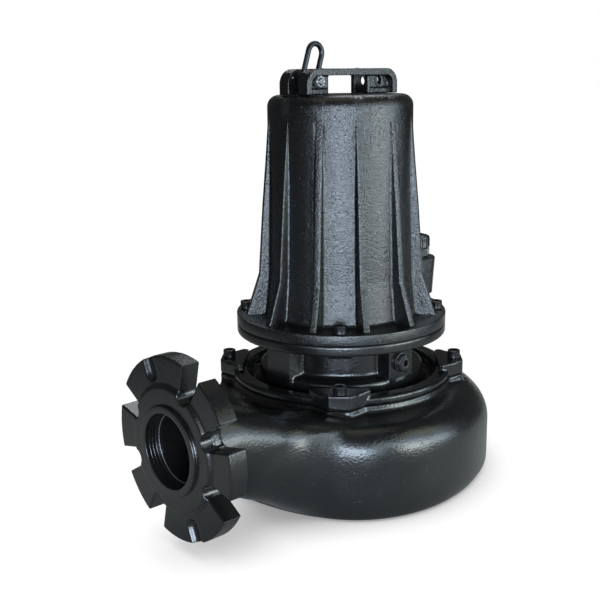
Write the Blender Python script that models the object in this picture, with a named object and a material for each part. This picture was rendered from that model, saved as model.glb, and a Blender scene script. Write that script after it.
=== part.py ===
"""Submersible sewage pump with a finned motor on a spiral casing and a horizontal DN 80 discharge flange.

Metres, +Z up, floor at z = 0. The discharge faces -Y. Azimuths are counted from -Y towards +X.
Shapes are drawn around the pump's shaft, and one empty then moves the whole pump.
"""

import math

import bmesh
import bpy
from mathutils import Matrix, Vector

# Where the shaft stands, so that the origin lies under the middle of the pump
SHAFT_X = -0.0145
SHAFT_Y = 0.06945

GAP = 0.0003
EDGE = 0.001
CASTING_STEPS = 48
CHAMBER_STEPS = 32
SMALL_STEPS = 16
NECK_SIDES = 28
SHARP_ANGLE = math.radians(32)

# Spiral casing
CASING_SPIRAL = (
    (0, 0.186),
    (20, 0.1925),
    (38, 0.2005),
    (50, 0.206),
    (62, 0.2066),
    (76, 0.203),
    (90, 0.1972),
    (110, 0.1915),
    (135, 0.190),
    (180, 0.183),
    (225, 0.175),
    (270, 0.169),
    (310, 0.167),
    (340, 0.174),
)
CASING_WALL = 0.010
CASING_FLOOR = 0.012
CASING_FOOT_ROUND = 0.014
CASING_TOP = 0.1084
CASING_SIDE_TOP = (
    (0, 0.074),
    (30, 0.081),
    (45, 0.080),
    (62, 0.079),
    (76, 0.0755),
    (90, 0.0745),
    (120, 0.064),
    (200, 0.062),
    (300, 0.062),
    (335, 0.067),
)
CASING_SHOULDER = (
    (0, 0.030),
    (25, 0.026),
    (65, 0.026),
    (90, 0.036),
    (120, 0.046),
    (200, 0.046),
    (300, 0.040),
    (335, 0.034),
)
HOLLOW_SIDE_TOP = 0.0620
SEAM_Z = 0.1174
SEAM_RADIUS = 0.141
MOUTH_RADIUS = 0.119
INLET_RADIUS = 0.046
WEAR_RING_WALL = 0.006

# Discharge
FLANGE_X = 0.0705
FLANGE_Y = -0.3149
FLANGE_Z = 0.1173
FLANGE_RADIUS = 0.100
FLANGE_THICKNESS = 0.022
RAISED_RADIUS = 0.067
RAISED_HEIGHT = 0.0035
LIP_RADIUS = 0.049
LIP_HEIGHT = 0.0070
BORE_RADIUS = 0.0405
STEP_RADIUS = 0.038
STEP_DEPTH = 0.009
NECK_END_RADIUS = 0.051
NECK_STATIONS = (  # y, x and z of the middle, half width, half height, squareness
    (-0.2450, 0.0720, 0.0970, 0.0505, 0.0520, 3.0),
    (-0.2120, 0.0735, 0.0835, 0.0500, 0.0535, 3.2),
    (-0.1790, 0.0770, 0.0675, 0.0480, 0.0565, 3.4),
    (-0.1410, 0.0835, 0.0603, 0.0435, 0.0573, 3.6),
    (-0.0930, 0.0948, 0.0565, 0.0352, 0.0510, 3.9),
)
SLOT_END_RADIUS = 0.010
SLOT_END_AT = 0.072
SLOT_TAPER = math.radians(9)
GROOVE_RADIUS = 0.009
GROOVE_SLOTS = (3, 7)

# Ears and screws
EAR_REACH = 0.157
EAR_HALF_WIDTH = 0.0135
EAR_TOP = 0.1350
EAR_ROOT_Z = 0.0964
EAR_FLARE = 0.9
EAR_ROOT_INSET = 0.010
EAR_SCREW_RADIUS = 0.1466

# Flat pad between the left ear and the neck
TONGUE_PAD = ((-0.101, -0.121), (-0.090, -0.095), (-0.048, -0.115), (-0.048, -0.154), (-0.076, -0.154))
TONGUE_PAD_BOTTOM = 0.070
TONGUE_PAD_TOP = 0.1056

MOTOR_SCREW_RADIUS = 0.122
SCREW_AZIMUTHS = (45, 135, 225, 315)
SCREW_HEAD_RADIUS = 0.008
SCREW_HEAD_HEIGHT = 0.010
SCREW_SHANK_RADIUS = 0.005
SCREW_SOCKET = 0.008
SCREW_SOCKET_DEPTH = 0.005
SCREW_EDGE = 0.0008
MOTOR_SCREW_LENGTH = 0.026
VOLUTE_SCREW_LENGTH = 0.030

# Oil chamber
SPIGOT_BOTTOM = 0.0925
RIM_TOP = 0.1264
RIM_INNER = 0.123
TROUGH_FLOOR = 0.1094
LEDGE_RADIUS = 0.106
LEDGE_TOP = 0.1339
BODY_RADIUS = 0.0885
PLATE_RADIUS = 0.134
PLATE_BOTTOM = 0.1754
PLATE_TOP = 0.1877
BOSS_HALF_WIDTH = 0.021
BOSS_ROOT = 0.025
SIDE_BOSS = (0.105, 0.1220, 0.004)  # reach, bottom and chamfer
FRONT_BOSS = (0.108, 0.1140, 0.012)
SCREW_PAD = ((-0.014, -0.132), (0.014, -0.132), (0.019, -0.100), (-0.019, -0.100))
SCREW_PAD_HEIGHT = 0.003
PLUG_Z = 0.1512
PLUG_RADIUS = 0.011
PLUG_HEIGHT = 0.006
PLUG_SHANK_RADIUS = 0.008
PLUG_SHANK_LENGTH = 0.018
PLUG_SOCKET_DEPTH = 0.004
PLUG_WELL_END = 0.080
WASHER_RADIUS = 0.012
WASHER_THICKNESS = 0.0012

# Motor housing
HOUSING_BOTTOM = PLATE_TOP + GAP
HOUSING_FLANGE_TOP = 0.2010
HOUSING_TOP = 0.4710
CORE_PROFILE = ((0.2014, 0.0985), (0.2524, 0.0930), (0.3654, 0.0898), (0.4570, 0.0896))
FIN_PROFILE = ((0.2004, 0.1243), (0.2104, 0.1200), (0.2524, 0.1058), (0.3404, 0.0990), (0.4154, 0.0920))
FIN_END = (0.4535, 0.0890)
FIN_COUNT = 12
FIN_HALF_WIDTH = 0.005
FIN_SOFT_EDGE = 0.0022
FIN_ROOT_DEPTH = 0.012
TOP_ROUND = 0.014

# Handle arches
ARCH_HALF_LENGTH = 0.0765
ARCH_TOP = 0.5013
ARCH_DEPTH = 0.0165
ARCH_OUTER_X = 0.025
ARCH_BAND = 0.008
ARCH_CORNER = 0.018
WEB_LENGTH = 0.035
WEB_DEPTH = 0.0065
SILL_HEIGHT = 0.0067
SILL_DEPTH = 0.0090
OPEN_HOLE_RADIUS = 0.0057
BOLT_Y = 0.0520
BOLT_Z = 0.4866
BOLT_RADIUS = 0.004
NUT_FLATS = 0.013
NUT_HEIGHT = 0.0065
BOLT_HEAD_HEIGHT = 0.0053
BOLT_TIP = 0.0015

# Lifting link
LINK_BAR_RADIUS = 0.0033
LINK_LEG_SPACING = 0.0215
LINK_LENGTH = 0.0425
LINK_LEAN = math.radians(18.5)
LINK_PLAY = 0.0006
LINK_BEND_POINTS = 12

# Cable entry on the back of the housing
ENTRY_RADIUS = 0.024
ENTRY_TOP = 0.2495
ENTRY_DRAFT = 0.003
ENTRY_EDGE = 0.003
ENTRY_ROOT_DEPTH = 0.025
GLAND_Y = 0.149
GLAND_FLATS = 0.030
GLAND_BODY_HEIGHT = 0.012
GLAND_NUT_HEIGHT = 0.0165
GLAND_NUT_RADIUS = 0.0165
BUSH_SEAT = 0.003
BUSH_PROUD = 0.0015
BUSH_RADIUS = 0.0092
CABLE_HOLE_RADIUS = 0.0070

# Inside
WEAR_RING_BOTTOM = 0.001
WEAR_RING_TOP = CASING_FLOOR + 0.004
IMPELLER_DISC = ((0.060, 0.082), (0.104, 0.076), (0.104, 0.070), (0.040, 0.066), (0.026, 0.040))
HUB_TOP = 0.082
HUB_BOTTOM = 0.036
VANE_COUNT = 5
VANE_INNER_RADIUS = 0.026
VANE_REACH = 0.074
VANE_SWEEP = -70
VANE_HALF_WIDTH = 0.003
VANE_BOTTOM = 0.024
VANE_RISE = 0.020
VANE_TOP = 0.0715
SHAFT_RADIUS = 0.014
SHAFT_TOP = PLUG_Z - 0.004
THREAD_RADIUS = 0.0053
THREAD_DEPTH = 0.026
IMPELLER_WASHER_RADIUS = 0.020
IMPELLER_WASHER_THICKNESS = 0.0032
IMPELLER_SCREW_LENGTH = 0.022

CAST_IRON_PAINT = ((0.012, 0.012, 0.013, 1.0), 0.38, 0.0)
BLACK_OXIDE = ((0.010, 0.010, 0.011, 1.0), 0.33, 0.6)
DARK_STEEL = ((0.060, 0.062, 0.068, 1.0), 0.35, 0.9)
BARE_IRON = ((0.160, 0.150, 0.140, 1.0), 0.55, 0.7)
RUBBER = ((0.015, 0.015, 0.015, 1.0), 0.75, 0.0)


def clear_scene():
    for obj in list(bpy.data.objects):
        bpy.data.objects.remove(obj, do_unlink=True)


def make_material(name, finish):
    colour, roughness, metallic = finish
    material = bpy.data.materials.new(name)
    material.use_nodes = True
    shader = material.node_tree.nodes["Principled BSDF"]
    shader.inputs["Base Color"].default_value = colour
    shader.inputs["Roughness"].default_value = roughness
    shader.inputs["Metallic"].default_value = metallic
    return material


def make_object(name, bm, finish=CAST_IRON_PAINT, place=(0.0, 0.0, 0.0)):
    """Turns the bmesh into a named object that hangs on the shaft's empty."""
    bmesh.ops.remove_doubles(bm, verts=bm.verts, dist=1e-6)
    bmesh.ops.recalc_face_normals(bm, faces=bm.faces)
    mesh = bpy.data.meshes.new(name)
    bm.to_mesh(mesh)
    bm.free()
    mesh.shade_smooth()
    mesh.set_sharp_from_angle(angle=SHARP_ANGLE)
    mesh.materials.append(make_material(name, finish))
    obj = bpy.data.objects.new(name, mesh)
    obj.location = place
    obj.parent = bpy.data.objects["shaft_axis"]
    bpy.context.scene.collection.objects.link(obj)
    return obj


def shape_with(target, bm, operation, name):
    """Joins or cuts the target with a hidden helper shape."""
    helper = make_object(name, bm)
    helper.location = target.location
    helper.hide_render = True
    helper.display_type = "WIRE"
    modifier = target.modifiers.new(name, "BOOLEAN")
    modifier.operation = operation
    modifier.object = helper


def join(target, bm, name):
    shape_with(target, bm, "UNION", name)


def cut(target, bm, name):
    shape_with(target, bm, "DIFFERENCE", name)


def polar(radius, azimuth, z):
    """A point at this azimuth in degrees, counted from -Y towards +X."""
    angle = math.radians(azimuth)
    return Vector((radius * math.sin(angle), -radius * math.cos(angle), z))


def arc(centre, radii, start, end, steps):
    """Points (r, z) on a round or oval stretch of a profile, with angles in degrees from +r towards +z."""
    points = []
    for i in range(steps + 1):
        angle = math.radians(start + (end - start) * i / steps)
        points.append((centre[0] + radii[0] * math.cos(angle), centre[1] + radii[1] * math.sin(angle)))
    return points


def turned(profile, steps=CASTING_STEPS):
    """A solid turned round the z axis from (r, z) points."""
    bm = bmesh.new()
    verts = [bm.verts.new((r, 0.0, z)) for r, z in profile]
    edges = [bm.edges.new(pair) for pair in zip(verts, verts[1:])]
    if profile[0][0] > 0 or profile[-1][0] > 0:
        edges.append(bm.edges.new((verts[-1], verts[0])))
    bmesh.ops.spin(
        bm,
        geom=verts + edges,
        cent=(0, 0, 0),
        axis=(0, 0, 1),
        angle=2 * math.pi,
        steps=steps,
        use_merge=True,
    )
    bmesh.ops.remove_doubles(bm, verts=bm.verts, dist=1e-6)
    return bm


def lofted(rings):
    """A solid skinned over rings of equal length, with its two end rings closed."""
    bm = bmesh.new()
    rows = [[bm.verts.new(point) for point in ring] for ring in rings]
    for low, high in zip(rows, rows[1:]):
        for i in range(len(low)):
            j = (i + 1) % len(low)
            bm.faces.new((low[i], low[j], high[j], high[i]))
    bm.faces.new(rows[0])
    bm.faces.new(rows[-1])
    return bm


def prism(outline, depth):
    """The flat outline of 3D points, pushed along the depth vector."""
    bm = bmesh.new()
    face = bm.faces.new([bm.verts.new(point) for point in outline])
    pushed = bmesh.ops.extrude_face_region(bm, geom=[face])["geom"]
    bmesh.ops.translate(bm, vec=depth, verts=[v for v in pushed if isinstance(v, bmesh.types.BMVert)])
    return bm


def merged(shapes):
    """Several separate shapes in one bmesh."""
    bm = bmesh.new()
    for shape in shapes:
        mesh = bpy.data.meshes.new("shape")
        shape.to_mesh(mesh)
        shape.free()
        bm.from_mesh(mesh)
        bpy.data.meshes.remove(mesh)
    return bm


def moved(bm, matrix):
    bmesh.ops.transform(bm, matrix=matrix, verts=bm.verts)
    return bm


def facing(azimuth):
    """Turns a shape drawn towards -Y to another azimuth."""
    return Matrix.Rotation(math.radians(azimuth), 4, "Z")


def along_y(bm, x=0.0, y=0.0, z=0.0):
    """Lays a shape turned round z down, so that its top points along -Y."""
    return moved(bm, Matrix.Translation((x, y, z)) @ Matrix.Rotation(math.radians(90), 4, "X"))


def along_x(bm, x=0.0, y=0.0, z=0.0):
    """Lays a shape turned round z down, so that its top points along +X."""
    return moved(bm, Matrix.Translation((x, y, z)) @ Matrix.Rotation(math.radians(90), 4, "Y"))


def rod(radius, bottom, top, steps=SMALL_STEPS):
    return turned(((0, top), (radius, top), (radius, bottom), (0, bottom)), steps)


def hexagon(flats, bottom, top):
    """A hexagonal prism with two of its flats facing +Y and -Y."""
    corner = flats / math.sqrt(3)
    return rod(corner, bottom, top, 6)


def around(knots, azimuth):
    """The value at this azimuth on a smooth closed curve through (azimuth, value) knots."""
    count = len(knots)
    k = max(i for i in range(count) if knots[i][0] <= azimuth % 360)
    start = knots[k][0]
    end = knots[(k + 1) % count][0] + (360 if k + 1 == count else 0)
    t = (azimuth % 360 - start) / (end - start)
    before, first, second, after = (knots[(k + i) % count][1] for i in (-1, 0, 1, 2))
    slope_in = (second - before) / 2
    slope_out = (after - first) / 2
    return (
        (2 * t**3 - 3 * t**2 + 1) * first
        + (t**3 - 2 * t**2 + t) * slope_in
        + (3 * t**2 - 2 * t**3) * second
        + (t**3 - t**2) * slope_out
    )


def casing_section(azimuth):
    """Outside of the casing at one azimuth, from the middle of its foot to the middle of its top."""
    radius = around(CASING_SPIRAL, azimuth)
    side_top = around(CASING_SIDE_TOP, azimuth)
    shoulder = max(radius - around(CASING_SHOULDER, azimuth), SEAM_RADIUS + 0.004)
    foot = CASING_FOOT_ROUND
    points = [(INLET_RADIUS / 2, 0.0)]
    points += arc((radius - foot, foot), (foot, foot), -90, 0, 3)
    points += arc((shoulder, side_top), (radius - shoulder, CASING_TOP - side_top), 0, 90, 6)
    points += [(SEAM_RADIUS + 0.003, CASING_TOP + 0.0015), (SEAM_RADIUS, CASING_TOP + 0.005)]
    points += [(SEAM_RADIUS, SEAM_Z - GAP), (INLET_RADIUS / 2, SEAM_Z - GAP)]
    return points


def cavity_section(azimuth):
    """The hollow at one azimuth, with the inlet below it and the mouth above it."""
    radius = around(CASING_SPIRAL, azimuth) - CASING_WALL
    foot = CASING_FOOT_ROUND - 0.004
    top = CASING_TOP - CASING_WALL
    points = [(INLET_RADIUS / 2, -0.005), (INLET_RADIUS, -0.005), (INLET_RADIUS, CASING_FLOOR)]
    points += arc((radius - foot, CASING_FLOOR + foot), (foot, foot), -90, 0, 2)
    points += arc((MOUTH_RADIUS, HOLLOW_SIDE_TOP), (radius - MOUTH_RADIUS, top - HOLLOW_SIDE_TOP), 0, 90, 4)
    points += [(MOUTH_RADIUS, SEAM_Z + 0.005), (INLET_RADIUS / 2, SEAM_Z + 0.005)]
    return points


def swept_round(section):
    """Skins the sections round the shaft, and closes the small core round the axis."""
    steps = CASTING_STEPS
    azimuths = [360 * i / steps for i in range(steps)]
    outlines = [[polar(r, azimuth, z) for r, z in section(azimuth)] for azimuth in azimuths]
    return lofted(list(zip(*outlines)))


def neck_ring(y, middle_x, middle_z, half_width, half_height, squareness, wall):
    """One cross section of the discharge neck, an oval that grows squarer towards the casing."""
    points = []
    for i in range(NECK_SIDES):
        angle = 2 * math.pi * i / NECK_SIDES
        across = math.copysign(abs(math.cos(angle)) ** (2 / squareness), math.cos(angle))
        up = math.copysign(abs(math.sin(angle)) ** (2 / squareness), math.sin(angle))
        x = middle_x + (half_width - wall) * across
        z = middle_z + (half_height - wall) * up
        points.append(Vector((x, y, z)))
    return points


def neck_shape(wall, front_y, end_radius):
    """The neck from its flange back into the casing, or its bore when a wall is taken off."""
    rings = [neck_ring(front_y, FLANGE_X, FLANGE_Z, end_radius, end_radius, 2.0, 0.0)]
    rings.append(neck_ring(FLANGE_Y + 0.040, FLANGE_X, FLANGE_Z - 0.003, end_radius, end_radius, 2.0, 0.0))
    for station in NECK_STATIONS:
        rings.append(neck_ring(*station, wall))
    return lofted(rings)


def flange_disc():
    """Flange, raised face and lip, turned round z with the lip on top."""
    return turned(
        (
            (0, LIP_HEIGHT),
            (LIP_RADIUS, LIP_HEIGHT),
            (LIP_RADIUS, RAISED_HEIGHT),
            (RAISED_RADIUS, RAISED_HEIGHT),
            (RAISED_RADIUS + 2 * EDGE, 0.0),
            (FLANGE_RADIUS - EDGE, 0.0),
            (FLANGE_RADIUS, -EDGE),
            (FLANGE_RADIUS, -FLANGE_THICKNESS + EDGE),
            (FLANGE_RADIUS - EDGE, -FLANGE_THICKNESS),
            (0, -FLANGE_THICKNESS),
        ),
        CASTING_STEPS,
    )


def slot_shape():
    """An open bolt slot pointing along +Y, drawn flat and pushed through the flange."""
    far = FLANGE_RADIUS + 0.006
    half = SLOT_END_RADIUS + (far - SLOT_END_AT) * math.tan(SLOT_TAPER)
    outline = [Vector((half, far, 0)), Vector((-half, far, 0))]
    for i in range(9):
        angle = math.pi + math.pi * i / 8
        x = SLOT_END_RADIUS * math.cos(angle)
        outline.append(Vector((x, SLOT_END_AT + SLOT_END_RADIUS * math.sin(angle), 0)))
    bm = prism(outline, (0, 0, FLANGE_THICKNESS + 0.020))
    return moved(bm, Matrix.Translation((0, 0, -FLANGE_THICKNESS - 0.004)))


def groove_shape():
    """A half-round groove along +Y in the front of the flange."""
    bm = rod(GROOVE_RADIUS, RAISED_RADIUS + 0.003, FLANGE_RADIUS + 0.006, 20)
    return moved(bm, Matrix.Rotation(math.radians(-90), 4, "X"))


def flange_slots():
    shapes = []
    for k in range(8):
        shape = groove_shape() if k in GROOVE_SLOTS else slot_shape()
        shapes.append(moved(shape, Matrix.Rotation(math.radians(-22.5 - 45 * k), 4, "Z")))
    return merged(shapes)


def ear_outline(z):
    """Plan of one ear towards -Y, with flanks that flare into the ring."""
    half = EAR_HALF_WIDTH
    root = SEAM_RADIUS - EAR_ROOT_INSET
    flare = half + (EAR_REACH - root) * EAR_FLARE
    inner = RIM_INNER + 0.0015
    return [
        Vector((-half, -EAR_REACH, z)),
        Vector((half, -EAR_REACH, z)),
        Vector((flare, -root, z)),
        Vector((flare * 0.92, -inner, z)),
        Vector((-flare * 0.92, -inner, z)),
        Vector((-flare, -root, z)),
    ]


def screw_holes(radius, bottom, top):
    shapes = []
    for azimuth in SCREW_AZIMUTHS:
        hole = rod(SCREW_SHANK_RADIUS + GAP, bottom, top, 16)
        shapes.append(moved(hole, Matrix.Translation(polar(radius, azimuth, 0))))
    return merged(shapes)


def make_casing():
    casing = make_object("volute_casing", swept_round(casing_section))
    join(casing, neck_shape(0.0, FLANGE_Y - 0.0005 + FLANGE_THICKNESS / 2, NECK_END_RADIUS), "neck_body")
    join(casing, along_y(flange_disc(), FLANGE_X, FLANGE_Y, FLANGE_Z), "flange_body")
    ear_height = (0, 0, SEAM_Z - GAP - EAR_ROOT_Z)
    ears = [moved(prism(ear_outline(EAR_ROOT_Z), ear_height), facing(a)) for a in SCREW_AZIMUTHS]
    join(casing, merged(ears), "ear_bodies")
    pad = [Vector((x, y, TONGUE_PAD_BOTTOM)) for x, y in TONGUE_PAD]
    join(casing, prism(pad, (0, 0, TONGUE_PAD_TOP - TONGUE_PAD_BOTTOM)), "tongue_pad")
    cut(casing, swept_round(cavity_section), "casing_hollow")
    cut(casing, neck_shape(CASING_WALL, FLANGE_Y - 0.012, STEP_RADIUS), "neck_bore")
    bore = rod(BORE_RADIUS, -STEP_DEPTH, LIP_HEIGHT + 0.005, 36)
    cut(casing, along_y(bore, FLANGE_X, FLANGE_Y, FLANGE_Z), "flange_bore")
    cut(casing, along_y(flange_slots(), FLANGE_X, FLANGE_Y, FLANGE_Z), "flange_slots")
    cut(casing, screw_holes(EAR_SCREW_RADIUS, EAR_ROOT_Z + 0.004, EAR_TOP), "ear_holes")
    return casing


def chamber_profile():
    """Oil chamber from the middle of its top plate, round the outside to its shaft hole."""
    hole = SHAFT_RADIUS + GAP
    spigot = MOUTH_RADIUS - 2 * GAP
    points = [(0, PLATE_TOP), (PLATE_RADIUS - EDGE, PLATE_TOP), (PLATE_RADIUS, PLATE_TOP - EDGE)]
    points += [(PLATE_RADIUS, PLATE_BOTTOM + EDGE), (PLATE_RADIUS - EDGE, PLATE_BOTTOM)]
    points += arc((BODY_RADIUS + 0.006, PLATE_BOTTOM - 0.006), (0.006, 0.006), 90, 180, 2)
    points += arc((BODY_RADIUS + 0.005, LEDGE_TOP + 0.005), (0.005, 0.005), 180, 270, 2)
    points += arc((LEDGE_RADIUS - 0.006, LEDGE_TOP - 0.006), (0.006, 0.006), 90, 0, 3)
    points += arc((LEDGE_RADIUS + 0.008, TROUGH_FLOOR + 0.008), (0.008, 0.008), 180, 270, 2)
    points += [(RIM_INNER - 2 * EDGE, TROUGH_FLOOR + 0.009), (RIM_INNER, RIM_TOP - EDGE)]
    points += [(RIM_INNER + EDGE, RIM_TOP), (SEAM_RADIUS - 2 * EDGE, RIM_TOP)]
    points += [(SEAM_RADIUS, RIM_TOP - 2 * EDGE)]
    points += [(SEAM_RADIUS, SEAM_Z), (spigot, SEAM_Z), (spigot, SPIGOT_BOTTOM), (hole, SPIGOT_BOTTOM)]
    points += [(hole, PLUG_Z), (0, PLUG_Z)]
    return points


def boss_shape(reach, bottom, chamfer):
    """A cast boss towards -Y on the chamber's body."""
    half = BOSS_HALF_WIDTH
    top = PLATE_BOTTOM + 0.003
    y = -BODY_RADIUS + BOSS_ROOT
    outline = [
        Vector((-half, y, top)),
        Vector((half, y, top)),
        Vector((half, y, bottom + chamfer)),
        Vector((half - chamfer, y, bottom)),
        Vector((-half + chamfer, y, bottom)),
        Vector((-half, y, bottom + chamfer)),
    ]
    return prism(outline, (0, -reach - y, 0))


def make_oil_chamber():
    chamber = make_object("oil_chamber", turned(chamber_profile(), CHAMBER_STEPS))
    ears = [moved(prism(ear_outline(SEAM_Z), (0, 0, EAR_TOP - SEAM_Z)), facing(a)) for a in SCREW_AZIMUTHS]
    join(chamber, merged(ears), "chamber_ears")
    bosses = [moved(boss_shape(*SIDE_BOSS), facing(a)) for a in (90, 270)]
    bosses += [moved(boss_shape(*FRONT_BOSS), facing(a)) for a in (0, 180)]
    join(chamber, merged(bosses), "chamber_bosses")
    low = PLATE_BOTTOM - SCREW_PAD_HEIGHT
    pad = [Vector((x, y, low)) for x, y in SCREW_PAD]
    pads = [moved(prism(pad, (0, 0, 2 * SCREW_PAD_HEIGHT)), facing(a)) for a in SCREW_AZIMUTHS]
    join(chamber, merged(pads), "screw_pads")
    cut(chamber, screw_holes(EAR_SCREW_RADIUS, SEAM_Z - 0.010, EAR_TOP + 0.010), "chamber_ear_holes")
    cut(chamber, screw_holes(MOTOR_SCREW_RADIUS, low - 0.010, PLATE_TOP + 0.010), "plate_holes")
    well = rod(PLUG_SHANK_RADIUS + GAP, 0.0, 0.030)
    wells = [moved(along_x(well.copy(), PLUG_WELL_END, 0, PLUG_Z), facing(turn)) for turn in (0, 180)]
    cut(chamber, merged(wells), "plug_wells")
    return chamber


def core_radius(z):
    """Radius of the housing's body between two stated heights."""
    for (low_z, low_r), (high_z, high_r) in zip(CORE_PROFILE, CORE_PROFILE[1:]):
        if z <= high_z:
            return low_r + (high_r - low_r) * (z - low_z) / (high_z - low_z)
    return CORE_PROFILE[-1][1]


def make_housing():
    top_r = CORE_PROFILE[-1][1]
    profile = [(0, HOUSING_TOP)]
    profile += arc((top_r - TOP_ROUND, HOUSING_TOP - TOP_ROUND), (TOP_ROUND, TOP_ROUND), 90, 0, 5)
    profile += [(r, z) for z, r in reversed(CORE_PROFILE[:-1])]
    profile += [(PLATE_RADIUS - EDGE, HOUSING_FLANGE_TOP), (PLATE_RADIUS, HOUSING_FLANGE_TOP - EDGE)]
    profile += [(PLATE_RADIUS, HOUSING_BOTTOM + EDGE), (PLATE_RADIUS - EDGE, HOUSING_BOTTOM)]
    profile += [(0, HOUSING_BOTTOM)]
    housing = make_object("motor_housing", turned(profile))
    fins = [moved(fin_shape(), facing(360 * k / FIN_COUNT)) for k in range(FIN_COUNT)]
    join(housing, merged(fins), "fin_bodies")
    join(housing, entry_shape(), "cable_box")
    holes = screw_holes(MOTOR_SCREW_RADIUS, HOUSING_BOTTOM - 0.010, HOUSING_FLANGE_TOP + 0.010)
    cut(housing, holes, "housing_holes")
    return housing


def fin_shape():
    """One cooling fin towards -Y with softened outer edges."""
    rings = []
    heights = [(HOUSING_FLANGE_TOP - 0.003, FIN_PROFILE[0][1])] + list(FIN_PROFILE[1:]) + [FIN_END]
    for z, reach in heights:
        half = FIN_HALF_WIDTH
        soft = FIN_SOFT_EDGE
        inner = core_radius(z) - FIN_ROOT_DEPTH
        rings.append(
            [
                Vector((-half, -inner, z)),
                Vector((-half, -reach + soft, z)),
                Vector((-half + soft, -reach, z)),
                Vector((half - soft, -reach, z)),
                Vector((half, -reach + soft, z)),
                Vector((half, -inner, z)),
            ]
        )
    return lofted(rings)


def cap_screw(length):
    """A socket cap screw standing on z = 0, with its shank below."""
    head = SCREW_HEAD_RADIUS
    profile = (
        (0, SCREW_HEAD_HEIGHT),
        (head - SCREW_EDGE, SCREW_HEAD_HEIGHT),
        (head, SCREW_HEAD_HEIGHT - SCREW_EDGE),
        (head, GAP),
        (SCREW_SHANK_RADIUS, GAP),
        (SCREW_SHANK_RADIUS, -length),
        (0, -length),
    )
    return turned(profile, SMALL_STEPS)


def make_screws():
    for kind, radius, seat, length in (
        ("motor_screw", MOTOR_SCREW_RADIUS, HOUSING_FLANGE_TOP, MOTOR_SCREW_LENGTH),
        ("volute_screw", EAR_SCREW_RADIUS, EAR_TOP, VOLUTE_SCREW_LENGTH),
    ):
        for number, azimuth in enumerate(SCREW_AZIMUTHS, 1):
            place = polar(radius, azimuth, seat)
            screw = make_object(f"{kind}_{number}", cap_screw(length), BLACK_OXIDE, place)
            socket = hexagon(SCREW_SOCKET, SCREW_HEAD_HEIGHT - SCREW_SOCKET_DEPTH, 2 * SCREW_HEAD_HEIGHT)
            cut(screw, socket, f"{kind}_{number}_socket")


def make_plugs():
    """Oil plugs with hex sockets and sealing washers in the two side bosses."""
    face = SIDE_BOSS[0]
    seat = face + WASHER_THICKNESS + 2 * GAP
    for name, turn in (("oil_plug", 0), ("drain_plug", 180)):
        profile = ((0, PLUG_HEIGHT), (PLUG_RADIUS - EDGE, PLUG_HEIGHT), (PLUG_RADIUS, PLUG_HEIGHT - EDGE))
        profile += ((PLUG_RADIUS, 0.0), (PLUG_SHANK_RADIUS, 0.0))
        profile += ((PLUG_SHANK_RADIUS, -PLUG_SHANK_LENGTH), (0, -PLUG_SHANK_LENGTH))
        plug = along_x(turned(profile, SMALL_STEPS), seat, 0, PLUG_Z)
        plug = make_object(name, moved(plug, facing(turn)), BLACK_OXIDE)
        socket = hexagon(SCREW_SOCKET, PLUG_HEIGHT - PLUG_SOCKET_DEPTH, 2 * PLUG_HEIGHT)
        cut(plug, moved(along_x(socket, seat, 0, PLUG_Z), facing(turn)), f"{name}_socket")
        hole = PLUG_SHANK_RADIUS + GAP
        top = WASHER_THICKNESS
        ring = ((WASHER_RADIUS, 0.0), (WASHER_RADIUS, top), (hole, top), (hole, 0.0))
        washer = along_x(turned(ring, SMALL_STEPS), face + GAP, 0, PLUG_Z)
        make_object(f"{name}_washer", moved(washer, facing(turn)), BARE_IRON)


def arch_outline(x):
    """Side view of one handle arch: an upside-down U with rounded outer and inner corners."""
    base = HOUSING_TOP + GAP
    half = ARCH_HALF_LENGTH
    corner = ARCH_CORNER
    band = ARCH_BAND
    points = [(half, base)]
    points += arc((half - corner, ARCH_TOP - corner), (corner, corner), 0, 90, 6)
    points += arc((-half + corner, ARCH_TOP - corner), (corner, corner), 90, 180, 6)
    points += [(-half, base), (-half + band, base)]
    inner = corner - band
    points += arc((-half + corner, ARCH_TOP - corner), (inner, inner), 180, 90, 4)
    points += arc((half - corner, ARCH_TOP - corner), (inner, inner), 90, 0, 4)
    points += [(half - band, base)]
    return [Vector((x, y, z)) for y, z in points]


def web_shape(x, end, top, depth):
    """A flat block that fills one end of an arch up to a height, pushed outwards from x."""
    outer = end * (ARCH_HALF_LENGTH - ARCH_BAND / 2)
    inner = end * (ARCH_HALF_LENGTH - ARCH_BAND - WEB_LENGTH)
    base = HOUSING_TOP + GAP
    corners = [(outer, base), (outer, top), (inner, top), (inner, base)]
    return prism([Vector((x, y, z)) for y, z in corners], (depth, 0, 0))


def make_handle():
    """Two arches side by side along the discharge, each with a web block at either end of its gap side."""
    base = HOUSING_TOP + GAP
    for name, side in (("handle_arch_left", -1), ("handle_arch_right", 1)):
        near = ARCH_OUTER_X - ARCH_DEPTH
        arch = make_object(name, prism(arch_outline(side * near), (side * ARCH_DEPTH, 0, 0)))
        blocks = (("webs", ARCH_TOP - ARCH_BAND / 2, WEB_DEPTH), ("sills", base + SILL_HEIGHT, SILL_DEPTH))
        for kind, top, depth in blocks:
            shapes = [web_shape(side * near, end, top, side * depth) for end in (-1, 1)]
            join(arch, merged(shapes), f"{name}_{kind}")
        reach = 2 * ARCH_OUTER_X
        holes = [
            along_x(rod(BOLT_RADIUS + GAP, -reach, reach), 0, -BOLT_Y, BOLT_Z),
            along_x(rod(OPEN_HOLE_RADIUS, -reach, reach), 0, BOLT_Y, BOLT_Z),
        ]
        cut(arch, merged(holes), f"{name}_holes")


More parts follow.
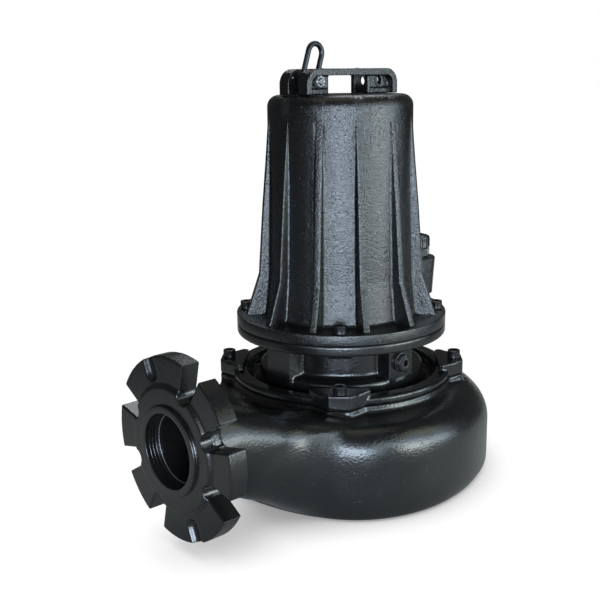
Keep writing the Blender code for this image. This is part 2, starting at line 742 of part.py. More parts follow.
def make_cross_bolt():
    """Bolt through the front webs of both arches, with a hex head on the left and a nut on the right."""
    web_face = ARCH_OUTER_X - ARCH_DEPTH + WEB_DEPTH + GAP
    flats_up = Matrix.Rotation(math.radians(30), 4, "Z")
    head = moved(hexagon(NUT_FLATS, -web_face - BOLT_HEAD_HEIGHT, -web_face), flats_up)
    bolt = make_object("cross_bolt", along_x(head), BLACK_OXIDE, (0, -BOLT_Y, BOLT_Z))
    shank = rod(BOLT_RADIUS, -web_face - BOLT_HEAD_HEIGHT / 2, web_face + NUT_HEIGHT + BOLT_TIP)
    join(bolt, along_x(shank), "cross_bolt_shank")
    nut = moved(hexagon(NUT_FLATS, web_face, web_face + NUT_HEIGHT), flats_up)
    nut = make_object("cross_bolt_nut", along_x(nut), DARK_STEEL, (0, -BOLT_Y, BOLT_Z))
    cut(nut, along_x(rod(BOLT_RADIUS + GAP, 0, 2 * ARCH_OUTER_X)), "cross_nut_hole")


def link_path():
    """Middle line of the oblong link, with its lower bend round the front cross bolt."""
    half = LINK_LEG_SPACING / 2
    last = LINK_BEND_POINTS - 1
    points = arc((0, 0), (half, half), 180, 360, last)
    points += arc((0, LINK_LENGTH - half), (half, half), 0, 180, last)
    lift = half - BOLT_RADIUS - LINK_BAR_RADIUS - LINK_PLAY
    return [Vector((0, y, z + lift)) for y, z in points]


def make_link():
    """Round bar bent to a closed link, hung on the front cross bolt and leaning towards the rear."""
    path = link_path()
    rings = []
    count = len(path)
    for i, point in enumerate(path):
        ahead = (path[(i + 1) % count] - path[i - 1]).normalized()
        out = ahead.cross(Vector((1, 0, 0)))
        ring = []
        for k in range(12):
            angle = 2 * math.pi * k / 12
            side = math.cos(angle) * Vector((1, 0, 0)) + math.sin(angle) * out
            ring.append(point + LINK_BAR_RADIUS * side)
        rings.append(ring)
    bm = bmesh.new()
    rows = [[bm.verts.new(point) for point in ring] for ring in rings]
    for low, high in zip(rows, rows[1:] + rows[:1]):
        for i in range(12):
            j = (i + 1) % 12
            bm.faces.new((low[i], low[j], high[j], high[i]))
    moved(bm, Matrix.Rotation(-LINK_LEAN, 4, "X"))
    make_object("lifting_link", bm, DARK_STEEL, (0, -BOLT_Y, BOLT_Z))


def entry_shape():
    """Cast cable box on the back of the housing, round-ended under the gland and wider towards its top."""
    rings = []
    for z, shrink in (
        (HOUSING_FLANGE_TOP - 2 * EDGE, ENTRY_DRAFT),
        (ENTRY_TOP - ENTRY_EDGE, 0.0),
        (ENTRY_TOP, ENTRY_EDGE),
    ):
        radius = ENTRY_RADIUS - shrink
        inner = core_radius(z) - ENTRY_ROOT_DEPTH
        outline = [(radius, inner)] + arc((0, GLAND_Y), (radius, radius), 0, 180, 12) + [(-radius, inner)]
        rings.append([Vector((x, y, z)) for x, y in outline])
    return lofted(rings)


def make_gland():
    """Cable gland on the box: hexagonal body, round nut and the rubber bush in it."""
    bottom = ENTRY_TOP + GAP
    middle = bottom + GLAND_BODY_HEIGHT
    top = middle + GLAND_NUT_HEIGHT
    make_object("gland_body", hexagon(GLAND_FLATS, bottom, middle), BLACK_OXIDE, (0, GLAND_Y, 0))
    nut = rod(GLAND_NUT_RADIUS, middle + GAP, top, 24)
    nut = make_object("gland_nut", nut, BLACK_OXIDE, (0, GLAND_Y, 0))
    cut(nut, rod(BUSH_RADIUS + GAP, middle + BUSH_SEAT, top + 0.010, 20), "gland_nut_bore")
    low = middle + BUSH_SEAT + GAP
    high = top + BUSH_PROUD
    outline = [(BUSH_RADIUS, low), (BUSH_RADIUS, high), (CABLE_HOLE_RADIUS, high), (CABLE_HOLE_RADIUS, low)]
    make_object("gland_bush", turned(outline, 20), RUBBER, (0, GLAND_Y, 0))


def make_inside():
    """Wear ring, impeller and shaft that show through the inlet and the discharge bore."""
    outer = INLET_RADIUS - GAP
    inner = INLET_RADIUS - WEAR_RING_WALL
    low, high = WEAR_RING_BOTTOM, WEAR_RING_TOP
    ring = [(outer, low), (outer, high), (inner, high), (inner, low)]
    make_object("wear_ring", turned(ring, 32), BARE_IRON)

    hub = SHAFT_RADIUS + GAP
    disc = turned([(hub, HUB_TOP), *IMPELLER_DISC, (hub, HUB_BOTTOM)], 32)
    impeller = make_object("impeller", disc, BARE_IRON)
    vanes = [moved(vane_shape(), facing(360 * k / VANE_COUNT)) for k in range(VANE_COUNT)]
    join(impeller, merged(vanes), "impeller_vanes")

    shaft = make_object("pump_shaft", rod(SHAFT_RADIUS, HUB_BOTTOM, SHAFT_TOP, SMALL_STEPS), DARK_STEEL)
    cut(shaft, rod(THREAD_RADIUS, HUB_BOTTOM - 0.010, HUB_BOTTOM + THREAD_DEPTH, 16), "shaft_thread")
    high = HUB_BOTTOM - GAP
    low = high - IMPELLER_WASHER_THICKNESS
    outer = IMPELLER_WASHER_RADIUS
    washer = turned(((THREAD_RADIUS, low), (THREAD_RADIUS, high), (outer, high), (outer, low)), SMALL_STEPS)
    make_object("impeller_washer", washer, DARK_STEEL)
    bolt = moved(cap_screw(IMPELLER_SCREW_LENGTH), Matrix.Rotation(math.pi, 4, "X"))
    bolt = make_object("impeller_screw", bolt, DARK_STEEL, (0, 0, low))
    socket = hexagon(SCREW_SOCKET, -SCREW_HEAD_HEIGHT - 0.003, -SCREW_HEAD_HEIGHT + SCREW_SOCKET_DEPTH)
    cut(bolt, socket, "impeller_screw_socket")


def vane_shape():
    """One backward-curved vane below the impeller's disc."""
    last = 6
    shares = [i / last for i in range(last + 1)]
    middle = [polar(VANE_INNER_RADIUS + VANE_REACH * t, VANE_SWEEP * t, 0) for t in shares]
    rings = []
    for i, point in enumerate(middle):
        ahead = (middle[min(i + 1, last)] - middle[max(i - 1, 0)]).normalized()
        side = Vector((-ahead.y, ahead.x, 0)) * VANE_HALF_WIDTH
        low = Vector((0, 0, VANE_BOTTOM + VANE_RISE * (1 - i / last)))
        top = Vector((0, 0, VANE_TOP))
        rings.append([point + side + low, point - side + low, point - side + top, point + side + top])
    return lofted(rings)


def main():
    clear_scene()
    axis = bpy.data.objects.new("shaft_axis", None)
    axis.location = (SHAFT_X, SHAFT_Y, 0)
    bpy.context.scene.collection.objects.link(axis)
    make_casing()
    make_oil_chamber()
    make_housing()
    make_screws()
    make_plugs()
    make_handle()
    make_cross_bolt()
    make_link()
    make_gland()
    make_inside()


main()
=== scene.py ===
import math

import bmesh
import bpy
from mathutils import Matrix, Vector


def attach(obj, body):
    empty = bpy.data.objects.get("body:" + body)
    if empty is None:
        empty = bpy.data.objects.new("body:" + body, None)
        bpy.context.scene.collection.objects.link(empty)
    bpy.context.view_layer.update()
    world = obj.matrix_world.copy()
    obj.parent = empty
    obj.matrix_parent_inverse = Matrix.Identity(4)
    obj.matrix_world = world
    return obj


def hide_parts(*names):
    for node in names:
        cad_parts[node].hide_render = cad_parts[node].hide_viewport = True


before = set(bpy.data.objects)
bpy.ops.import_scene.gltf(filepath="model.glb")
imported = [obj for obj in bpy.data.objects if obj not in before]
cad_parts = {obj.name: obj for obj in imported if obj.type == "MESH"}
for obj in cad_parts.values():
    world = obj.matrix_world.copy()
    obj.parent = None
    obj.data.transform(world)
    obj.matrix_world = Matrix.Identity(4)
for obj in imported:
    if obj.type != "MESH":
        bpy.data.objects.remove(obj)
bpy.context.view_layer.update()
scene = bpy.context.scene
shaft = Vector((-0.0145, 0.06945, 0))  # where the shaft's axis meets the floor
gap = 0.0003  # room between neighbouring pieces

# The camera stands where the photographer stood
camera = dict(place=(0.8166, -0.7440, 0.4934), turn=(76.391, 0.790, 48.012), lens=55.56)

cameraData = bpy.data.cameras.new("camera")
cameraData.lens = camera["lens"]
cameraData.sensor_width = 36
cameraObject = bpy.data.objects.new("camera", cameraData)
cameraObject.location = camera["place"]
cameraObject.rotation_euler = [math.radians(a) for a in camera["turn"]]
scene.collection.objects.link(cameraObject)
scene.camera = cameraObject
scene.view_settings.view_transform = "Standard"
print("camera set")


# Shapes

def spun(points, steps):  # a solid turned round the z axis from (radius, height) points
    bm = bmesh.new()
    verts = [bm.verts.new((r, 0, z)) for r, z in points]
    edges = [bm.edges.new(pair) for pair in zip(verts, verts[1:])]
    if points[0][0] > 0 and points[-1][0] > 0:
        edges.append(bm.edges.new((verts[-1], verts[0])))
    bmesh.ops.spin(
        bm, geom=verts + edges, cent=(0, 0, 0), axis=(0, 0, 1), angle=2 * math.pi, steps=steps, use_merge=True
    )
    bmesh.ops.remove_doubles(bm, verts=bm.verts, dist=1e-6)
    bmesh.ops.recalc_face_normals(bm, faces=bm.faces)
    return bm


def raised(bm, ring, points):  # extrudes a ring of edges and moves the new ring to the points
    edges = [bm.edges.get(pair) for pair in zip(ring, ring[1:] + ring[:1])]
    drawn = bmesh.ops.extrude_edge_only(bm, edges=edges)["geom"]
    fresh = {v for v in drawn if isinstance(v, bmesh.types.BMVert)}
    upper = []
    for vert, point in zip(ring, points):
        top = next(e.other_vert(vert) for e in vert.link_edges if e.other_vert(vert) in fresh)
        top.co = point
        upper.append(top)
    return upper


def stacked(rings):  # a closed solid drawn up through rings of equal length
    bm = bmesh.new()
    ring = [bm.verts.new(point) for point in rings[0]]
    bm.faces.new(ring)
    for points in rings[1:]:
        ring = raised(bm, ring, points)
    bm.faces.new(ring)
    bmesh.ops.recalc_face_normals(bm, faces=bm.faces)
    return bm


def slab(outline, depth):  # a flat outline pushed along the depth vector
    bm = bmesh.new()
    face = bm.faces.new([bm.verts.new(point) for point in outline])
    pushed = bmesh.ops.extrude_face_region(bm, geom=[face])["geom"]
    bmesh.ops.translate(bm, vec=depth, verts=[v for v in pushed if isinstance(v, bmesh.types.BMVert)])
    bmesh.ops.recalc_face_normals(bm, faces=bm.faces)
    return bm


def together(shapes):
    bm = bmesh.new()
    for shape in shapes:
        mesh = bpy.data.meshes.new("part")
        shape.to_mesh(mesh)
        shape.free()
        bm.from_mesh(mesh)
        bpy.data.meshes.remove(mesh)
    return bm


def moved(bm, matrix):
    bmesh.ops.transform(bm, matrix=matrix, verts=bm.verts)
    return bm


def turned(azimuth):  # turns what points to -Y towards another azimuth
    return Matrix.Rotation(math.radians(azimuth), 4, "Z")


def laid(axis, place):  # lays an upright shape along -Y or +X
    return Matrix.Translation(place) @ Matrix.Rotation(math.radians(90), 4, "X" if axis == "y" else "Y")


def arc(centre, radii, start, end, steps):  # points on an ellipse between two angles in degrees
    angles = [math.radians(start + (end - start) * i / steps) for i in range(steps + 1)]
    return [(centre[0] + radii[0] * math.cos(a), centre[1] + radii[1] * math.sin(a)) for a in angles]


def rod(radius, bottom, top, steps=48):
    return spun([(0, top), (radius, top), (radius, bottom), (0, bottom)], steps)


def hexRod(flats, bottom, top):
    return rod(flats / math.sqrt(3), bottom, top, 6)


def polar(radius, azimuth, z=0.0):  # a point at an azimuth counted from -Y towards +X
    angle = math.radians(azimuth)
    return Vector((radius * math.sin(angle), -radius * math.cos(angle), z))


# Pieces

def meshObject(name, bm):
    mesh = bpy.data.meshes.new(name)
    bm.to_mesh(mesh)
    bm.free()
    thing = bpy.data.objects.new(name, mesh)
    scene.collection.objects.link(thing)
    return thing


def settled(thing):  # puts what the modifiers make into the mesh
    bpy.context.view_layer.update()
    baked = bpy.data.meshes.new_from_object(thing.evaluated_get(bpy.context.evaluated_depsgraph_get()))
    baked.name = thing.name
    old = thing.data
    thing.modifiers.clear()
    thing.data = baked
    bpy.data.meshes.remove(old)
    return thing


def cutOrJoined(thing, bm, operation):
    helper = meshObject("helper", bm)
    boolean = thing.modifiers.new("boolean", "BOOLEAN")
    boolean.operation = operation
    boolean.object = helper
    settled(thing)
    bpy.data.meshes.remove(helper.data)


def castSkin(thing, voxel, smooth, keep, softer=None):  # one sand-cast skin over everything, with softened edges
    remesh = thing.modifiers.new("skin", "REMESH")
    remesh.mode = "VOXEL"
    remesh.voxel_size = voxel
    if softer:  # a softer patch where two forms flow into each other
        settled(thing)
        patch = thing.vertex_groups.new(name="patch")
        for vert in thing.data.vertices:
            patch.add([vert.index], softer(vert.co), "REPLACE")
        melt = thing.modifiers.new("melt", "SMOOTH")
        melt.factor = 0.6
        melt.iterations = 300
        melt.vertex_group = patch.name
    relax = thing.modifiers.new("relax", "SMOOTH")
    relax.factor = 0.5
    relax.iterations = smooth
    if keep < 1:
        thin = thing.modifiers.new("thin", "DECIMATE")
        thin.ratio = keep
    settled(thing)


def finished(thing, material, body, nodes, sharpAngle=None):
    mesh = thing.data
    mesh.transform(Matrix.Translation(shaft))
    mesh.shade_smooth()
    if sharpAngle is not None:
        mesh.set_sharp_from_angle(angle=math.radians(sharpAngle))
    mesh.materials.clear()
    mesh.materials.append(material)
    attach(thing, body)
    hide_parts(*nodes)
    return thing


# Finishes

def newGroup(name, inputs, outputs):
    group = bpy.data.node_groups.new(name, "ShaderNodeTree")
    for label, kind, value in inputs:
        socket = group.interface.new_socket(label, in_out="INPUT", socket_type=kind)
        if value is not None:
            socket.default_value = value
    for label, kind in outputs:
        group.interface.new_socket(label, in_out="OUTPUT", socket_type=kind)
    return group, group.nodes.new("NodeGroupInput"), group.nodes.new("NodeGroupOutput")


def addNode(tree, kind, settings=None, **inputs):  # i0, i1 and so on are inputs by number
    node = tree.nodes.new(kind)
    for key, value in (settings or {}).items():
        setattr(node, key, value)
    for key, value in inputs.items():
        socket = node.inputs[int(key[1:])] if key[0] == "i" and key[1:].isdigit() else node.inputs[key]
        if isinstance(value, bpy.types.NodeSocket):
            tree.links.new(value, socket)
        else:
            socket.default_value = value
    return node


def math2(tree, operation, a, b=0.0):
    return addNode(tree, "ShaderNodeMath", dict(operation=operation), i0=a, i1=b).outputs[0]


def vectors(tree, operation, a, b=(0.0, 0.0, 0.0)):
    node = addNode(tree, "ShaderNodeVectorMath", dict(operation=operation), i0=a, i1=b)
    return node.outputs["Value" if operation in ("LENGTH", "DISTANCE") else "Vector"]


def ranged(tree, value, low, high, start=0.0, end=1.0):
    node = addNode(tree, "ShaderNodeMapRange", dict(clamp=True), i0=value, i1=low, i2=high, i3=start, i4=end)
    return node.outputs[0]


def noiseOf(tree, vector, scale, detail=2.0, rough=0.5):
    node = addNode(tree, "ShaderNodeTexNoise", None, Vector=vector, Scale=scale, Detail=detail, Roughness=rough)
    return node.outputs["Fac"]


# Sand-cast skin: rounded grain, sparse pits, slow clouds and a rare pale speck
sandSkin = dict(
    grain=0.95, wave=0.22, waveScale=150.0, pitScale=260.0, pitEdge=(0.12, 0.34), pitShare=0.4, pitDepth=0.30,
    cloudScale=14.0, cloudEdge=(0.35, 0.65), speckScale=70.0, speckEdge=(0.06, 0.10), speckFrom=0.996,
)
skinGroup, given, out = newGroup(
    "sandSkin",
    [
        ("Coordinates", "NodeSocketVector", None), ("Grain", "NodeSocketFloat", 360.0),
        ("Pits", "NodeSocketFloat", 0.5),
    ],
    [
        ("Height", "NodeSocketFloat"), ("Pit Mask", "NodeSocketFloat"),
        ("Cloud", "NodeSocketFloat"), ("Speck", "NodeSocketFloat"),
    ],
)
where = given.outputs["Coordinates"]
coarse = noiseOf(skinGroup, where, given.outputs["Grain"], 2.0, 0.55)
wave = noiseOf(skinGroup, where, sandSkin["waveScale"], 1.0, 0.5)
cells = addNode(skinGroup, "ShaderNodeTexVoronoi", None, Vector=where, Scale=sandSkin["pitScale"])
hole = ranged(skinGroup, cells.outputs["Distance"], *sandSkin["pitEdge"], 1.0, 0.0)
chosen = addNode(skinGroup, "ShaderNodeSeparateColor", None, Color=cells.outputs["Color"]).outputs[0]
share = math2(skinGroup, "MULTIPLY", given.outputs["Pits"], sandSkin["pitShare"])
pitLimit = math2(skinGroup, "SUBTRACT", 1.0, share)
pit = math2(skinGroup, "MULTIPLY", hole, math2(skinGroup, "GREATER_THAN", chosen, pitLimit))
coarse = math2(skinGroup, "MULTIPLY", coarse, sandSkin["grain"])
height = math2(skinGroup, "ADD", coarse, math2(skinGroup, "MULTIPLY", wave, sandSkin["wave"]))
height = math2(skinGroup, "SUBTRACT", height, math2(skinGroup, "MULTIPLY", pit, sandSkin["pitDepth"]))
cloud = ranged(skinGroup, noiseOf(skinGroup, where, sandSkin["cloudScale"], 4.0, 0.6), *sandSkin["cloudEdge"])
dots = addNode(skinGroup, "ShaderNodeTexVoronoi", None, Vector=where, Scale=sandSkin["speckScale"])
rare = addNode(skinGroup, "ShaderNodeSeparateColor", None, Color=dots.outputs["Color"]).outputs[1]
rare = math2(skinGroup, "GREATER_THAN", rare, sandSkin["speckFrom"])
dot = ranged(skinGroup, dots.outputs["Distance"], *sandSkin["speckEdge"], 1.0, 0.0)
skinGroup.links.new(height, out.inputs["Height"])
skinGroup.links.new(pit, out.inputs["Pit Mask"])
skinGroup.links.new(cloud, out.inputs["Cloud"])
skinGroup.links.new(math2(skinGroup, "MULTIPLY", dot, rare), out.inputs["Speck"])

# Edge wear and painted edge highlights, found from how sharply the surface bends
wearAndGlintBreakup = dict(scale=160.0, patches=(0.35, 0.6))
edgeWearAndGlintGroup, given, out = newGroup(
    "edgeWearAndGlints",
    [
        ("Coordinates", "NodeSocketVector", None), ("Start", "NodeSocketFloat", 0.52),
        ("End", "NodeSocketFloat", 0.60),
    ],
    [("Mask", "NodeSocketFloat")],
)
bend = addNode(edgeWearAndGlintGroup, "ShaderNodeNewGeometry").outputs["Pointiness"]
edge = ranged(edgeWearAndGlintGroup, bend, given.outputs["Start"], given.outputs["End"])
broken = noiseOf(edgeWearAndGlintGroup, given.outputs["Coordinates"], wearAndGlintBreakup["scale"], 3.0, 0.6)
broken = ranged(edgeWearAndGlintGroup, broken, *wearAndGlintBreakup["patches"])
edgeWearAndGlintGroup.links.new(math2(edgeWearAndGlintGroup, "MULTIPLY", edge, broken), out.inputs["Mask"])


# Slanted drag marks from the mould on a flange's rim, and two small dimples in its face
dragMarks = dict(
    turn=(0, 0.6, 0.75), stretch=(1.0, 9.0, 1.0), scale=75.0, fade=0.0012, depth=1.6,
    dimpleAt=0.078, dimpleEdge=(0.0008, 0.0018),
)
flangeGroup, given, out = newGroup(
    "flangeMarks",
    [
        ("Coordinates", "NodeSocketVector", None), ("Middle", "NodeSocketVector", (0.056, -0.245, 0.1173)),
        ("Rim", "NodeSocketFloat", 0.0985),
    ],
    [("Height", "NodeSocketFloat")],
)
fromMiddle = vectors(flangeGroup, "SUBTRACT", given.outputs["Coordinates"], given.outputs["Middle"])
flat = vectors(flangeGroup, "MULTIPLY", fromMiddle, (1, 0, 1))
atRim = math2(flangeGroup, "SUBTRACT", vectors(flangeGroup, "LENGTH", flat), given.outputs["Rim"])
slanted = addNode(
    flangeGroup, "ShaderNodeMapping", None, Vector=fromMiddle, Rotation=dragMarks["turn"], Scale=dragMarks["stretch"]
).outputs[0]
streaks = noiseOf(flangeGroup, slanted, dragMarks["scale"], 3.0, 0.6)
streaks = math2(flangeGroup, "MULTIPLY", streaks, ranged(flangeGroup, atRim, 0.0, dragMarks["fade"]))
dimples = 0.0
for upDown in (1, -1):
    away = vectors(flangeGroup, "DISTANCE", flat, (0, 0, dragMarks["dimpleAt"] * upDown))
    dimples = math2(flangeGroup, "ADD", dimples, ranged(flangeGroup, away, *dragMarks["dimpleEdge"], 1.0, 0.0))
marks = math2(flangeGroup, "SUBTRACT", math2(flangeGroup, "MULTIPLY", streaks, dragMarks["depth"]), dimples)
flangeGroup.links.new(marks, out.inputs["Height"])


def ironPaint(name, finish):  # one shader for paint, oxide, steel, iron and rubber
    material = bpy.data.materials.new(name)
    material.use_nodes = True
    tree = material.node_tree
    shader = tree.nodes["Principled BSDF"]
    where = addNode(tree, "ShaderNodeTexCoord").outputs["Object"]
    skin = addNode(
        tree, "ShaderNodeGroup", dict(node_tree=skinGroup),
        Coordinates=where, Grain=finish["grain"], Pits=finish["pits"],
    )
    edgeWearAndGlint = addNode(
        tree, "ShaderNodeGroup", dict(node_tree=edgeWearAndGlintGroup),
        Coordinates=where, Start=finish["wearAndGlintStart"], End=finish["wearAndGlintEnd"],
    )

    def mixed(factor, a, b):
        return addNode(tree, "ShaderNodeMix", dict(data_type="RGBA"), i0=factor, i6=a, i7=b).outputs[2]

    colour = mixed(skin.outputs["Cloud"], finish["dark"], finish["light"])
    colour = mixed(math2(tree, "MULTIPLY", skin.outputs["Pit Mask"], finish["pitShade"]), colour, finish["pit"])
    # Edges are lighter here: partly wear, partly a painted highlight along sharp edges
    colour = mixed(math2(tree, "MULTIPLY", edgeWearAndGlint.outputs["Mask"], finish["wearAndGlint"]), colour, finish["edge"])
    colour = mixed(skin.outputs["Speck"], colour, finish["speck"])
    tree.links.new(colour, shader.inputs["Base Color"])
    low, high = (finish["rough"] + change for change in finish["roughCloud"])
    rough = ranged(tree, skin.outputs["Cloud"], 0.0, 1.0, low, high)
    rough = math2(tree, "ADD", rough, math2(tree, "MULTIPLY", skin.outputs["Pit Mask"], finish["pitRough"]))
    tree.links.new(rough, shader.inputs["Roughness"])
    shader.inputs["Metallic"].default_value = finish["metal"]
    shader.inputs["Specular IOR Level"].default_value = finish["gloss"]
    relief = skin.outputs["Height"]
    if finish.get("marks"):
        marks = addNode(tree, "ShaderNodeGroup", dict(node_tree=flangeGroup), Coordinates=where)
        relief = math2(tree, "ADD", relief, math2(tree, "MULTIPLY", marks.outputs["Height"], finish["marks"]))
    bump = addNode(tree, "ShaderNodeBump", None, Strength=finish["bump"], Distance=0.0010, Height=relief)
    tree.links.new(bump.outputs[0], shader.inputs["Normal"])
    return material


# The edge colour, laid on by the edge mask, is partly rubbed wear and partly a painted highlight along sharp edges
black = dict(
    dark=(0.0045, 0.0045, 0.005, 1), light=(0.008, 0.0078, 0.0078, 1), pit=(0.002, 0.002, 0.002, 1),
    edge=(0.06, 0.062, 0.065, 1), speck=(0.45, 0.42, 0.36, 1),
    rough=0.23, roughCloud=(-0.03, 0.05), metal=0.0, gloss=0.7,
    grain=520.0, pits=0.4, pitShade=0.7, pitRough=0.2, bump=0.72, wearAndGlint=0.25, wearAndGlintStart=0.56, wearAndGlintEnd=0.68,
)
paint = ironPaint("paintedCastIron", black)
casingPaint = ironPaint("paintedCasing", dict(black, grain=400.0, bump=0.42, pits=0.15))
chamberPaint = ironPaint("paintedChamber", dict(black, grain=420.0, rough=0.20, bump=0.32, pits=0.2))
smoothPaint = ironPaint("paintedFlange", dict(black, grain=380.0, bump=0.20, pits=0.10))
flangePaint = ironPaint("paintedFlangeFace", dict(black, grain=380.0, bump=0.20, pits=0.10, marks=5.0))
bareIron = ironPaint("bareIron", dict(
    black, dark=(0.10, 0.095, 0.09, 1), light=(0.17, 0.16, 0.15, 1), rough=0.5, metal=0.7, grain=500.0, bump=0.5,
))
smooth = dict(black, grain=900.0, bump=0.12, pits=0.0)
# Light edge colour for steel and nut steel: a painted highlight along their edges
brightEdges = dict(edge=(0.5, 0.5, 0.5, 1))
# Lighter bare iron for the ring at the bore's step: partly bare metal, partly a painted highlight
stepGlintIron = ironPaint("stepGlintIron", dict(
    smooth, dark=(0.16, 0.16, 0.165, 1), light=(0.30, 0.30, 0.31, 1), rough=0.35, metal=0.8, bump=0.1,
))
# Light edges on blackened screws, plugs, gland and bolt: a painted highlight round their rims
oxide = ironPaint("blackOxide", dict(
    smooth, dark=(0.012, 0.012, 0.013, 1), light=(0.022, 0.022, 0.024, 1), edge=(0.35, 0.35, 0.36, 1),
    rough=0.25, metal=0.5, grain=1500.0, bump=0.08, wearAndGlint=0.8, wearAndGlintStart=0.53, wearAndGlintEnd=0.62,
))
steel = ironPaint("satinSteel", dict(
    smooth, **brightEdges, dark=(0.035, 0.037, 0.042, 1), light=(0.07, 0.072, 0.078, 1), rough=0.34, metal=0.9,
))
nutSteel = ironPaint("nutSteel", dict(
    smooth, **brightEdges, dark=(0.010, 0.010, 0.011, 1), light=(0.020, 0.020, 0.022, 1), rough=0.30, metal=0.5,
    wearAndGlint=0.7, wearAndGlintStart=0.53, wearAndGlintEnd=0.62,
))
# Light edge on the washers: a painted highlight round their rims
sealMetal = ironPaint("sealMetal", dict(
    smooth, dark=(0.025, 0.025, 0.027, 1), light=(0.06, 0.06, 0.063, 1), edge=(0.4, 0.4, 0.4, 1),
    rough=0.4, metal=0.6, bump=0.1, wearAndGlint=0.6,
))
rubber = ironPaint("rubber", dict(
    smooth, dark=(0.012, 0.012, 0.012, 1), light=(0.02, 0.02, 0.02, 1), rough=0.7, gloss=0.4, bump=0.1,
))
print("finishes made")


# Motor housing: one skin from its flange up the fins to its top
housing = dict(
    bottom=0.1880, flangeTop=0.2010, top=0.4710, flangeRadius=0.134, topRound=0.014,
    core=((0.1990, 0.0988), (0.2524, 0.0930), (0.3654, 0.0898), (0.4570, 0.0896)),
    reach=(
        (0.2004, 0.1243), (0.2104, 0.1200), (0.2524, 0.1058), (0.3404, 0.0990), (0.4154, 0.0920), (0.4570, 0.0885),
    ),
    fins=12, tipWidth=0.0044, draft=0.055, tipRound=0.0020, rootRound=0.0032, footRound=0.004,
    lowRound=0.0010, edgeRound=0.0012, seat=0.1275, capRings=(0.060, 0.030),
    heights=(
        0.2010, 0.2013, 0.2020, 0.2030, 0.2040, 0.2050, 0.2078, 0.2104, 0.214, 0.222, 0.230, 0.238, 0.246, 0.2500,
        0.2524, 0.2550, 0.262, 0.275, 0.290, 0.305, 0.320, 0.334, 0.3404, 0.347, 0.360, 0.375, 0.390, 0.405, 0.4154,
        0.420, 0.4275, 0.435, 0.4425, 0.450, 0.457,
    ),
)


def along(table, z):  # reads a (height, radius) table
    for (lowZ, lowR), (highZ, highR) in zip(table, table[1:]):
        if z <= highZ:
            return lowR + (highR - lowR) * (z - lowZ) / (highZ - lowZ)
    return table[-1][1]


def finHalf(core, reach, valley):  # (sideways, outwards) points from a fin's middle to the middle of its valley
    tall = max(reach - core, 0.0)
    tip = min(housing["tipRound"], 0.45 * tall)
    root = min(housing["rootRound"], 0.45 * tall)
    half = housing["tipWidth"]
    foot = half + housing["draft"] * tall
    points = [(0, core + tall)] + arc((half - tip, core + tall - tip), (tip, tip), 90, 0, 4)
    for t in (0.33, 0.67):
        points.append((half + (foot - half) * t, core + tall - tip + (root - tall + tip) * t))
    points += arc((foot + root, core + root), (root, root), 180, 270, 4)
    for i, (u, r) in enumerate(points[:-1]):  # the fin's foot follows the round core
        if i > 2 and r <= core + root:
            points[i] = (u, math.sqrt(r * r - u * u))
    start = math.asin((foot + root) / core)
    for i in range(1, 7):
        angle = start + (valley - start) * i / 6
        points.append((core * math.sin(angle), core * math.cos(angle)))
    return points


def finRing(z):
    core = along(housing["core"], z)
    rise = (z - housing["flangeTop"]) / housing["footRound"]
    if rise < 1:
        core += housing["footRound"] * (1 - math.sqrt(1 - (1 - rise) ** 2))
    reach = max(along(housing["reach"], z), core)
    sector = 2 * math.pi / housing["fins"]
    half = finHalf(core, reach, sector / 2)
    outline = [(-u, r) for u, r in reversed(half[1:-1])] + half
    ring = []
    for k in range(housing["fins"]):
        for u, r in outline:
            ring.append(Matrix.Rotation(sector * k, 3, "Z") @ Vector((u, -r, z)))
    return ring


def roundRing(radius, z, like):  # a plain circle whose points stand at the same azimuths as another ring's
    return [Vector((p.x, p.y, 0)).normalized() * radius + Vector((0, 0, z)) for p in like]


def makeHousing():
    h = housing
    low, edge, cap = h["lowRound"], h["edgeRound"], h["topRound"]
    profile = [(h["flangeRadius"] - low, h["bottom"])]
    profile += arc((h["flangeRadius"] - low, h["bottom"] + low), (low, low), -60, 0, 2)
    profile += arc((h["flangeRadius"] - edge, h["flangeTop"] - edge), (edge, edge), 0, 90, 3)
    profile.append((h["seat"], h["flangeTop"]))
    base = finRing(h["flangeTop"])
    rings = [roundRing(r, z, base) for r, z in profile] + [finRing(z) for z in h["heights"]]
    profile = arc((h["core"][-1][1] - cap, h["top"] - cap), (cap, cap), 0, 90, 10)[1:]
    profile += [(r, h["top"]) for r in h["capRings"]]
    top = rings[-1]
    rings += [roundRing(r, z, top) for r, z in profile]
    thing = meshObject("housing_body", stacked(rings))
    return finished(thing, paint, "pump", ["motor_housing"], 50)


makeHousing()

entryBox = dict(radius=0.024, middle=0.149, top=0.2495, bottom=0.1985, back=0.068, draft=0.003, edge=0.003)


def makeEntryBox():
    b = entryBox
    rings = []
    profile = [(b["bottom"], b["draft"]), (b["top"] - b["edge"], 0.0)]
    profile += [(z, b["edge"] - x) for x, z in arc((0.0, b["top"] - b["edge"]), (b["edge"], b["edge"]), 0, 90, 4)[1:]]
    for z, shrink in profile:
        r = b["radius"] - shrink
        outline = [(r, b["back"])] + arc((0, b["middle"]), (r, r), 0, 180, 32) + [(-r, b["back"])]
        rings.append([Vector((x, y, z)) for x, y in outline])
    thing = meshObject("housing_cable_box", stacked(rings))
    return finished(thing, paint, "pump", ["motor_housing"], 40)


makeEntryBox()
print("motor housing made")


